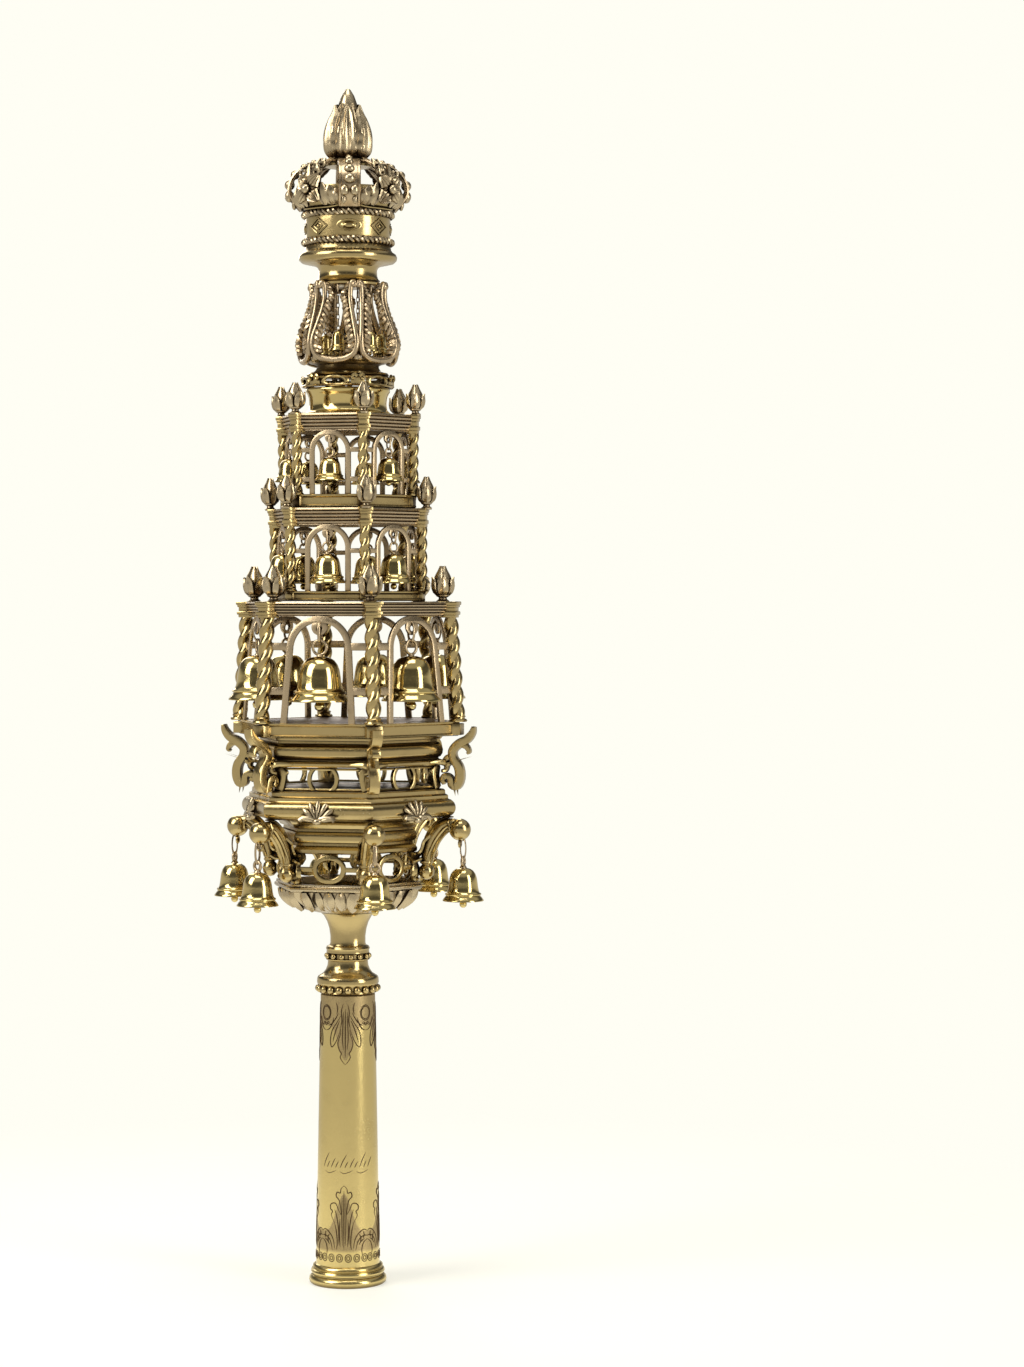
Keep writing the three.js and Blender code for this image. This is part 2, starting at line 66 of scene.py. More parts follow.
# ---- What the solids give ----
class Room:
    """The room a CAD node takes, in millimetres."""

    def __init__(self, name):
        low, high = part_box(name)
        self.low, self.high = low[2] / MM, high[2] / MM
        self.reach = (high[0] - low[0]) / 2 / MM
        self.distance = -(low[1] + high[1]) / 2 / MM

    def up(self, height):
        """A height above the node's underside."""
        return self.low + height

    def down(self, depth):
        """A height below the node's top."""
        return self.high - depth


def across(corner_radius):
    """The distance from the axis to a face of a hexagon with this corner radius."""
    return corner_radius * math.cos(math.pi / SIDES)


# ---- Places ----
def turned_to(direction):
    """Turns what was made at direction 0 to another direction."""
    return Matrix.Rotation(math.radians(direction), 4, "Z")


def around(directions, place=Matrix()):
    return [turned_to(at) @ place for at in directions]


def shifted(x=0.0, y=0.0, z=0.0):
    return Matrix.Translation((x, y, z))


def tipped(degrees, axis="X"):
    return Matrix.Rotation(math.radians(degrees), 4, axis)


def stretched(x, y, z):
    return Matrix.Diagonal((x, y, z, 1))


# ---- Lines ----
def smooth(points, steps=6, closed=False):
    """More points along a smooth curve through these ones."""
    points = [Vector(p) for p in points]
    last = len(points) - 1
    result = []
    for i in range(len(points) if closed else last):
        before = points[i - 1] if closed or i else points[0]
        start = points[i]
        end = points[(i + 1) % len(points)] if closed else points[i + 1]
        after = points[(i + 2) % len(points)] if closed else points[min(i + 2, last)]
        for step in range(steps):
            t = step / steps
            pull = (2 * before - 5 * start + 4 * end - after) * t * t
            swing = (3 * start - before - 3 * end + after) * t * t * t
            result.append((2 * start + (end - before) * t + pull + swing) / 2)
    if not closed:
        result.append(points[last])
    return result


def ribbon(points, widths, steps=6):
    """The outline of a strap of changing width along a flat curve."""
    middle = smooth(points, steps)
    size = smooth([(w, 0) for w in widths], steps)
    left, right = [], []
    for i, at in enumerate(middle):
        heading = (middle[min(i + 1, len(middle) - 1)] - middle[max(i - 1, 0)]).normalized()
        side = Vector((-heading.y, heading.x)) * max(size[i].x, 0.05) / 2
        left.append(at + side)
        right.append(at - side)
    return left + right[::-1]


def oval(x, z, width, height, steps=28):
    turns = [2 * math.pi * i / steps for i in range(steps)]
    return [(x + width / 2 * math.cos(t), z + height / 2 * math.sin(t)) for t in turns]


def arc(x, z, radius, start, end, steps=20):
    turns = [math.radians(start + (end - start) * i / steps) for i in range(steps + 1)]
    return [(x + radius * math.cos(t), z + radius * math.sin(t)) for t in turns]


# ---- Shapes: each gives a new bmesh ----
def cleaned(shape):
    bmesh.ops.remove_doubles(shape, verts=shape.verts, dist=0.002)
    bmesh.ops.dissolve_degenerate(shape, dist=0.001, edges=shape.edges)
    bmesh.ops.recalc_face_normals(shape, faces=shape.faces)
    return shape


def turned(profile, steps=64, start=0.0):
    """Spins (radius, height) points round the axis. Unless both ends are on the axis, the profile is a loop."""
    shape = bmesh.new()
    verts = [shape.verts.new((0, -radius, height)) for radius, height in profile]
    pairs = list(zip(verts, verts[1:]))
    if profile[0][0] > 0 or profile[-1][0] > 0:
        pairs.append((verts[-1], verts[0]))
    edges = [shape.edges.new(pair) for pair in pairs]
    bmesh.ops.rotate(shape, verts=verts, matrix=turned_to(start))
    bmesh.ops.spin(
        shape, geom=verts + edges, axis=(0, 0, 1), angle=2 * math.pi, steps=steps, use_merge=True
    )
    return cleaned(shape)


def hexagonal(profile):
    """A six-sided moulding. The radii are those of the corners."""
    return turned(profile, SIDES, CORNERS[0])


def meshed(curve):
    """The mesh of a curve, with its loose sides joined up."""
    holder = bpy.data.objects.new("curve", curve)
    mesh = bpy.data.meshes.new_from_object(holder)
    bpy.data.objects.remove(holder)
    bpy.data.curves.remove(curve)
    shape = bmesh.new()
    shape.from_mesh(mesh)
    bpy.data.meshes.remove(mesh)
    return cleaned(shape)


def plate(outlines, thickness, edge=0.18):
    """A bevelled plate in the XZ plane, centred on Y = 0. Outlines inside others are holes."""
    curve = bpy.data.curves.new("outline", "CURVE")
    curve.dimensions = "2D"
    curve.fill_mode = "BOTH"
    curve.extrude = thickness / 2 - edge
    curve.bevel_depth = edge
    curve.bevel_resolution = 1
    curve.offset = -edge
    for outline in outlines:
        spline = curve.splines.new("POLY")
        spline.points.add(len(outline) - 1)
        for point, (x, z) in zip(spline.points, outline):
            point.co = (x, z, 0, 1)
        spline.use_cyclic_u = True
    shape = meshed(curve)
    bmesh.ops.rotate(shape, verts=shape.verts, matrix=tipped(90))
    return shape


def tube(points, radii, closed=False, fine=2):
    """A round bar along these points. One radius, or one for each point."""
    curve = bpy.data.curves.new("bar", "CURVE")
    curve.dimensions = "3D"
    curve.bevel_depth = 1
    curve.bevel_resolution = fine
    curve.use_fill_caps = True
    spline = curve.splines.new("POLY")
    spline.points.add(len(points) - 1)
    for i, (point, at) in enumerate(zip(spline.points, points)):
        point.co = (*at, 1)
        point.radius = radii[i] if isinstance(radii, list) else radii
    spline.use_cyclic_u = closed
    return meshed(curve)


def swelling(path, sizes):
    """One radius for each point of a path, from a few along it."""
    result = []
    for i in range(len(path)):
        at = i / (len(path) - 1) * (len(sizes) - 1)
        before = min(int(at), len(sizes) - 2)
        result.append(sizes[before] + (sizes[before + 1] - sizes[before]) * (at - before))
    return result


def rope(path, radius, twists, closed=False, strands=2, narrow=1.0):
    """Strands wound round a path, made as one bmesh, that narrow to this share at the start."""
    shape = bmesh.new()
    count = len(path)
    for strand in range(strands):
        points, radii = [], []
        for i, at in enumerate(path):
            size = radius * (narrow + (1 - narrow) * min(2 * i / count, 1))
            after = path[(i + 1) % count] if closed else path[min(i + 1, count - 1)]
            heading = (after - path[i - 1 if closed or i else 0]).normalized()
            out = Vector((at.x, at.y, 0)).normalized()
            out = (out - heading * out.dot(heading)).normalized()
            turn = 2 * math.pi * (twists * i / count + strand / strands)
            beside = heading.cross(out)
            points.append(at + (out * math.cos(turn) + beside * math.sin(turn)) * size * 0.55)
            radii.append(size * 0.62)
        put(shape, tube(points, radii, closed, 1))
    return shape


def ball(radius, width=1.0, depth=1.0, height=1.0, fine=12):
    shape = bmesh.new()
    bmesh.ops.create_uvsphere(shape, u_segments=fine, v_segments=fine * 2 // 3, radius=radius)
    bmesh.ops.scale(shape, vec=(width, depth, height), verts=shape.verts)
    return shape


def loop(radius, wire, steps=20, sides=8):
    """A wire ring in the XZ plane, with its middle at the origin."""
    shape = bmesh.new()
    made = bmesh.ops.create_circle(shape, segments=sides, radius=wire)
    bmesh.ops.translate(shape, verts=made["verts"], vec=(radius, 0, 0))
    bmesh.ops.spin(
        shape,
        geom=shape.verts[:] + shape.edges[:],
        axis=(0, 1, 0),
        angle=2 * math.pi,
        steps=steps,
        use_merge=True,
    )
    return cleaned(shape)


def block(width, depth, height, edge=0.25):
    """A block with eased edges, with its middle at the origin."""
    shape = bmesh.new()
    bmesh.ops.create_cube(shape, size=1)
    bmesh.ops.scale(shape, vec=(width, depth, height), verts=shape.verts)
    bmesh.ops.bevel(
        shape,
        geom=shape.edges[:],
        offset=edge,
        offset_type="OFFSET",
        affect="EDGES",
        segments=2,
        profile=0.5,
        material=-1,
    )
    return shape


def leaf(line, widths, curl=0.3, ribs=0.0, lobes=0, lobe_depth=0.25, thickness=0.5, columns=8, rows=16):
    """A leaf along a line of (distance, height) points at direction 0, from its stalk to its tip.

    The sides curl back from the middle. Ribs are grooves along it, and lobes are steps in its outline.
    """
    shape = bmesh.new()
    bmesh.ops.create_grid(shape, x_segments=columns, y_segments=rows, size=1)
    middle = smooth(line, rows)
    sizes = smooth([(w, 0) for w in widths], rows)
    for vert in shape.verts:
        side, along = vert.co.x, (vert.co.y + 1) / 2
        i = round(along * (len(middle) - 1))
        at = middle[i]
        heading = (middle[min(i + 1, len(middle) - 1)] - middle[max(i - 1, 0)]).normalized()
        half = max(sizes[round(along * (len(sizes) - 1))].x, 0.1) / 2
        step = abs(math.sin(math.pi * lobes * along)) - 0.5 if lobes else 0
        spread = side * half * (1 + lobe_depth * step * abs(side))
        lift = -curl * half * side * side + 0.12 * half * math.cos(2 * math.pi * ribs * side) * (ribs > 0)
        vert.co = (spread, -(at.x + heading.y * lift), at.y - heading.x * lift)
    bmesh.ops.recalc_face_normals(shape, faces=shape.faces)
    bmesh.ops.solidify(shape, geom=shape.faces[:], thickness=thickness)
    return cleaned(shape)


def put(piece, shape, places=(Matrix(),), finish=0):
    """Adds the shape to a piece at each place, then frees it."""
    for face in shape.faces:
        face.material_index = finish
    mesh = bpy.data.meshes.new("shape")
    shape.to_mesh(mesh)
    shape.free()
    for place in places:
        copy = mesh.copy()
        copy.transform(place)
        if place.determinant() < 0:
            copy.flip_normals()
        piece.from_mesh(copy)
        bpy.data.meshes.remove(copy)
    bpy.data.meshes.remove(mesh)


def finish_piece(name, piece, nodes, materials, crisp=38):
    """Turns a bmesh in millimetres into a piece in metres that stands for these CAD nodes."""
    bmesh.ops.scale(piece, vec=(MM, MM, MM), verts=piece.verts)
    mesh = bpy.data.meshes.new(name)
    piece.to_mesh(mesh)
    piece.free()
    mesh.shade_smooth()
    mesh.set_sharp_from_angle(angle=math.radians(crisp))
    for material in materials:
        mesh.materials.append(material)
    made = bpy.data.objects.new(name, mesh)
    bpy.context.scene.collection.objects.link(made)
    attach(made, "root")
    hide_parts(*nodes)
    return made


def six(name):
    return [f"{name}_{i + 1}" for i in range(SIDES)]


# ---- Materials ----
def socket(tree, name, side, kind, default=None):
    made = tree.interface.new_socket(name=name, in_out=side, socket_type=kind)
    if default is not None:
        made.default_value = default
    return made


def aged_metal_and_recess_shade():
    """A shared effect: brown in the recesses from ambient occlusion, which is painted shade as well as tarnished metal,
    brown in faint clouds, and hairline wear over polished metal.
    """
    tree = bpy.data.node_groups.get("Aged Metal and Recess Shade")
    if tree:
        return tree
    tree = bpy.data.node_groups.new("Aged Metal and Recess Shade", "ShaderNodeTree")
    socket(tree, "Metal", "INPUT", "NodeSocketColor", (0.8, 0.66, 0.36, 1))
    socket(tree, "Tarnish and Shade", "INPUT", "NodeSocketColor", (0.1, 0.06, 0.03, 1))
    socket(tree, "Recess", "INPUT", "NodeSocketFloat", 1.0)
    socket(tree, "Clouds", "INPUT", "NodeSocketFloat", 0.3)
    socket(tree, "Polish", "INPUT", "NodeSocketFloat", 0.2)
    socket(tree, "Color", "OUTPUT", "NodeSocketColor")
    socket(tree, "Roughness", "OUTPUT", "NodeSocketFloat")
    socket(tree, "Height", "OUTPUT", "NodeSocketFloat")
    new, link = tree.nodes.new, tree.links.new
    given, out = new("NodeGroupInput"), new("NodeGroupOutput")
    place = new("ShaderNodeTexCoord")

    def noise(scale, detail):
        made = new("ShaderNodeTexNoise")
        made.inputs["Scale"].default_value = scale
        made.inputs["Detail"].default_value = detail
        link(place.outputs["Object"], made.inputs["Vector"])
        return made.outputs["Fac"]

    def ranged(value, low, high, to_low=0.0, to_high=1.0):
        made = new("ShaderNodeMapRange")
        made.interpolation_type = "SMOOTHSTEP"
        for name, number in zip(("From Min", "From Max", "To Min", "To Max"), (low, high, to_low, to_high)):
            made.inputs[name].default_value = number
        link(value, made.inputs["Value"])
        return made.outputs["Result"]

    def sum_of(operation, first, second, clamp=False):
        made = new("ShaderNodeMath")
        made.operation = operation
        made.use_clamp = clamp
        for given_value, slot in zip((first, second), made.inputs):
            if isinstance(given_value, (int, float)):
                slot.default_value = given_value
            else:
                link(given_value, slot)
        return made.outputs[0]

    # Ambient occlusion finds the recesses and browns the colour there: painted shade along with tarnished metal.
    hollow = new("ShaderNodeAmbientOcclusion")
    hollow.samples = 12
    hollow.inputs["Distance"].default_value = 0.0045
    recess = sum_of("MULTIPLY", ranged(hollow.outputs["AO"], 0.86, 0.28), given.outputs["Recess"])
    clouds = sum_of("MULTIPLY", ranged(noise(95, 5), 0.48, 0.78), given.outputs["Clouds"])
    spots = sum_of("MULTIPLY", ranged(noise(620, 3), 0.6, 0.8), given.outputs["Clouds"])
    stain_and_shade = sum_of("ADD", sum_of("ADD", recess, clouds), sum_of("MULTIPLY", spots, 0.5), True)
    mix = new("ShaderNodeMix")
    mix.data_type = "RGBA"
    link(stain_and_shade, mix.inputs["Factor"])
    link(given.outputs["Metal"], mix.inputs["A"])
    link(given.outputs["Tarnish and Shade"], mix.inputs["B"])
    link(mix.outputs["Result"], out.inputs["Color"])
    rough = sum_of("ADD", given.outputs["Polish"], sum_of("MULTIPLY", stain_and_shade, 0.28))
    wear = sum_of("MULTIPLY", ranged(noise(1500, 2), 0.4, 0.75), 0.07)
    link(sum_of("ADD", rough, wear), out.inputs["Roughness"])
    hairs = sum_of("MULTIPLY", noise(900, 4), 0.35)
    link(sum_of("ADD", hairs, sum_of("MULTIPLY", noise(150, 2), 1.0)), out.inputs["Height"])
    return tree


def metal(name, colour, tarnish_and_shade, recess, clouds, polish, bump=0.12):
    """A worn metal finish with painted shade in its recesses, made once and shared."""
    made = bpy.data.materials.get(name)
    if made:
        return made
    made = bpy.data.materials.new(name)
    made.use_nodes = True
    tree = made.node_tree
    shader = tree.nodes["Principled BSDF"]
    shader.inputs["Metallic"].default_value = 1.0
    shader.inputs["Specular IOR Level"].default_value = 0.5
    aged_and_shaded = tree.nodes.new("ShaderNodeGroup")
    aged_and_shaded.node_tree = aged_metal_and_recess_shade()
    aged_and_shaded.inputs["Metal"].default_value = (*colour, 1)
    aged_and_shaded.inputs["Tarnish and Shade"].default_value = (*tarnish_and_shade, 1)
    aged_and_shaded.inputs["Recess"].default_value = recess
    aged_and_shaded.inputs["Clouds"].default_value = clouds
    aged_and_shaded.inputs["Polish"].default_value = polish
    relief = tree.nodes.new("ShaderNodeBump")
    relief.inputs["Strength"].default_value = bump
    relief.inputs["Distance"].default_value = 0.0006
    tree.links.new(aged_and_shaded.outputs["Color"], shader.inputs["Base Color"])
    tree.links.new(aged_and_shaded.outputs["Roughness"], shader.inputs["Roughness"])
    tree.links.new(aged_and_shaded.outputs["Height"], relief.inputs["Height"])
    tree.links.new(relief.outputs["Normal"], shader.inputs["Normal"])
    return made


def gilt():
    look = bpy.context.scene.finial_finish
    return metal("Gilt", look.gilt, look.tarnish_and_shade, look.recess, 0.22, 0.17)


def pale_gilt():
    look = bpy.context.scene.finial_finish
    return metal("Pale Gilt", look.pale_gilt, look.tarnish_and_shade, look.recess * 0.9, 0.3, 0.26)


def cast_gilt():
    look = bpy.context.scene.finial_finish
    return metal("Cast Gilt", look.cast_gilt, look.tarnish_and_shade, look.recess * 1.25, 0.35, 0.24, 0.2)


def bright_gilt():
    look = bpy.context.scene.finial_finish
    return metal("Bright Gilt", look.bright_gilt, look.tarnish_and_shade, look.recess * 0.6, 0.12, 0.11, 0.06)


def engraved():
    look = bpy.context.scene.finial_finish
    return metal("Engraved Line", look.engraving, look.tarnish_and_shade, 0.4, 0.5, 0.5)


# ---- Settings ----
class FinialShape(bpy.types.PropertyGroup):
    """Sizes and counts of the metalwork."""

    beads: bpy.props.IntProperty(
        name="Collar Beads", description="Beads in the large ring on the collar", default=20, min=8, max=40
    )
    neck_beads: bpy.props.IntProperty(
        name="Neck Beads", description="Beads in the small ring on the neck", default=14, min=6, max=30
    )
    gadroons: bpy.props.IntProperty(
        name="Gadroons", description="Raised lobes on each face of the bowl", default=5, min=2, max=9
    )
    main_twist: bpy.props.FloatProperty(
        name="Main Twist",
        description="How far a main column is twisted from foot to top",
        default=math.radians(1120),
        unit="ROTATION",
    )
    upper_twist: bpy.props.FloatProperty(
        name="Upper Twist",
        description="How far a column of the upper storeys is twisted",
        default=math.radians(900),
        unit="ROTATION",
    )
    wire: bpy.props.FloatProperty(
        name="Bell Wire", description="Thickness of the wire of the main bells' rings", default=1.1 * MM, unit="LENGTH"
    )
    engraving: bpy.props.FloatProperty(
        name="Engraved Line", description="Width of an engraved line", default=0.42 * MM, unit="LENGTH"
    )


def colour(name, description, default):
    return bpy.props.FloatVectorProperty(
        name=name, description=description, default=default, size=3, min=0, max=1, subtype="COLOR"
    )


class FinialFinish(bpy.types.PropertyGroup):
    """Colours of the metal and of the stage."""

    # Gilt, Pale Gilt and Cast Gilt are darker than Bright Gilt partly because that metal is more tarnished, and partly
    # as painted shade for the shade and dark reflections among the crowded tower parts.
    gilt: colour("Gilt", "Mouldings, handle and arms", (0.54, 0.415, 0.19))
    bright_gilt: colour("Bright Gilt", "Polished bells and the plain tube", (0.72, 0.57, 0.24))
    pale_gilt: colour("Pale Gilt", "Worn arches, cornices and lyres", (0.55, 0.43, 0.27))
    cast_gilt: colour("Cast Gilt", "Leafwork of the crown, buds and flame", (0.54, 0.44, 0.28))
    # Painted shade: the dark brown of the decks inside the storeys and of the inside of the crown cup.
    painted_shade_plate: colour("Painted Shade Plate", "Brown insides of the floors", (0.10, 0.055, 0.024))
    # Brown of the tarnished metal, also laid in the recesses as painted shade.
    tarnish_and_shade: colour("Tarnish and Shade", "Brown in the recesses", (0.055, 0.028, 0.012))
    engraving: colour("Engraving", "Dark line of the engraving", (0.10, 0.065, 0.035))
    # Recess strength: how much painted shade and tarnished brown the recesses get.
    recess: bpy.props.FloatProperty(
        name="Recess Tarnish", description="Strength of the tarnish in the recesses", default=1.0, min=0, max=2
    )
    floor: colour("Floor", "Floor and background", (1.0, 0.992, 0.905))


# ---- Stage ----
class FINIAL_OT_stage(bpy.types.Operator):
    """Makes the camera, the pale floor and the soft lights"""

    bl_idname = "finial.stage"
    bl_label = "Stage"

    def execute(self, context):
        context.scene.view_settings.view_transform = "Standard"
        self.camera(context)
        self.floor(context)
        self.world(context)
        for name, where, size, power in (
            ("Key Light", (-0.75, -0.75, 1.0), (0.7, 1.0), 12),
            ("Right Light", (1.0, -0.35, 0.5), (0.35, 0.9), 5),
            ("Back Light", (-0.45, 0.9, 0.8), (0.6, 0.8), 5),
            ("Top Light", (0.05, -0.1, 1.5), (0.7, 0.7), 6),
        ):
            self.light(context, name, where, size, power)
        return {"FINISHED"}

    def camera(self, context):
        lens = bpy.data.cameras.new("Camera")
        made = bpy.data.objects.new("Camera", lens)
        context.scene.collection.objects.link(made)
        context.scene.camera = made
        lens.sensor_width = 36
        lens.lens = 86.9
        lens.shift_y = -0.061
        turn = math.radians(14.55)
        back = Vector((math.sin(turn), -math.cos(turn), 0))
        right = Vector((math.cos(turn), math.sin(turn), 0))
        made.location = back * 1.259 + right * 0.0626 + Vector((0, 0, 0.26))
        made.rotation_euler = (-back).to_track_quat("-Z", "Y").to_euler()

    def floor(self, context):
        shape = bmesh.new()
        bmesh.ops.create_circle(shape, cap_ends=True, segments=64, radius=3.0)
        mesh = bpy.data.meshes.new("floor")
        shape.to_mesh(mesh)
        shape.free()
        made = bpy.data.objects.new("floor", mesh)
        context.scene.collection.objects.link(made)
        mesh.materials.append(self.floor_finish(context.scene.finial_finish.floor))

    def floor_finish(self, tint):
        """Pale card that fades into the background away from the finial."""
        made = bpy.data.materials.new("Pale Floor")
        made.use_nodes = True
        new, link = made.node_tree.nodes.new, made.node_tree.links.new
        card = made.node_tree.nodes["Principled BSDF"]
        card.inputs["Base Color"].default_value = (*[0.5 * c for c in tint], 1)
        card.inputs["Emission Color"].default_value = (*tint, 1)
        card.inputs["Emission Strength"].default_value = 0.55
        card.inputs["Roughness"].default_value = 0.9
        card.inputs["Specular IOR Level"].default_value = 0.1
        place, length = new("ShaderNodeTexCoord"), new("ShaderNodeVectorMath")
        length.operation = "LENGTH"
        link(place.outputs["Object"], length.inputs[0])
        fade = new("ShaderNodeMapRange")
        fade.interpolation_type = "SMOOTHSTEP"
        fade.inputs["From Min"].default_value = 0.12
        fade.inputs["From Max"].default_value = 0.42
        link(length.outputs["Value"], fade.inputs["Value"])
        clear = new("ShaderNodeBsdfTransparent")
        mix = new("ShaderNodeMixShader")
        link(fade.outputs["Result"], mix.inputs["Fac"])
        link(card.outputs["BSDF"], mix.inputs[1])
        link(clear.outputs["BSDF"], mix.inputs[2])
        link(mix.outputs["Shader"], made.node_tree.nodes["Material Output"].inputs["Surface"])
        return made

    def world(self, context):
        """An even pale background, and a softer room with dark corners for the metal to reflect."""
        tint = context.scene.finial_finish.floor
        room = bpy.data.worlds.new("Room")
        context.scene.world = room
        room.use_nodes = True
        tree = room.node_tree
        new, link = tree.nodes.new, tree.links.new
        seen = tree.nodes["Background"]
        seen.inputs["Color"].default_value = (*tint, 1)
        seen.inputs["Strength"].default_value = 1.0
        place, parts = new("ShaderNodeTexCoord"), new("ShaderNodeSeparateXYZ")
        link(place.outputs["Generated"], parts.inputs[0])
        ramp = new("ShaderNodeValToRGB")
        link(parts.outputs["Z"], ramp.inputs["Fac"])
        ramp.color_ramp.elements[0].position = 0.0
        ramp.color_ramp.elements[0].color = (0.64, 0.62, 0.57, 1)
        ramp.color_ramp.elements[1].position = 0.9
        ramp.color_ramp.elements[1].color = (0.36, 0.36, 0.35, 1)
        for height, shade in ((0.14, 0.5), (0.24, 0.1), (0.5, 0.08), (0.66, 0.42)):
            ramp.color_ramp.elements.new(height).color = (shade, shade * 0.98, shade * 0.94, 1)
        glow = new("ShaderNodeBackground")
        link(ramp.outputs["Color"], glow.inputs["Color"])
        path, mix = new("ShaderNodeLightPath"), new("ShaderNodeMixShader")
        link(path.outputs["Is Camera Ray"], mix.inputs["Fac"])
        link(glow.outputs["Background"], mix.inputs[1])
        link(seen.outputs["Background"], mix.inputs[2])
        link(mix.outputs["Shader"], tree.nodes["World Output"].inputs["Surface"])

    def light(self, context, name, where, size, power):
        """A soft box that faces the middle of the finial."""
        lamp = bpy.data.lights.new(name, "AREA")
        lamp.shape = "RECTANGLE"
        lamp.size, lamp.size_y = size
        lamp.energy = power
        lamp.color = (1.0, 0.97, 0.92)
        made = bpy.data.objects.new(name, lamp)
        context.scene.collection.objects.link(made)
        made.location = where
        toward = Vector((0, 0, 0.22)) - Vector(where)
        made.rotation_euler = toward.to_track_quat("-Z", "Y").to_euler()


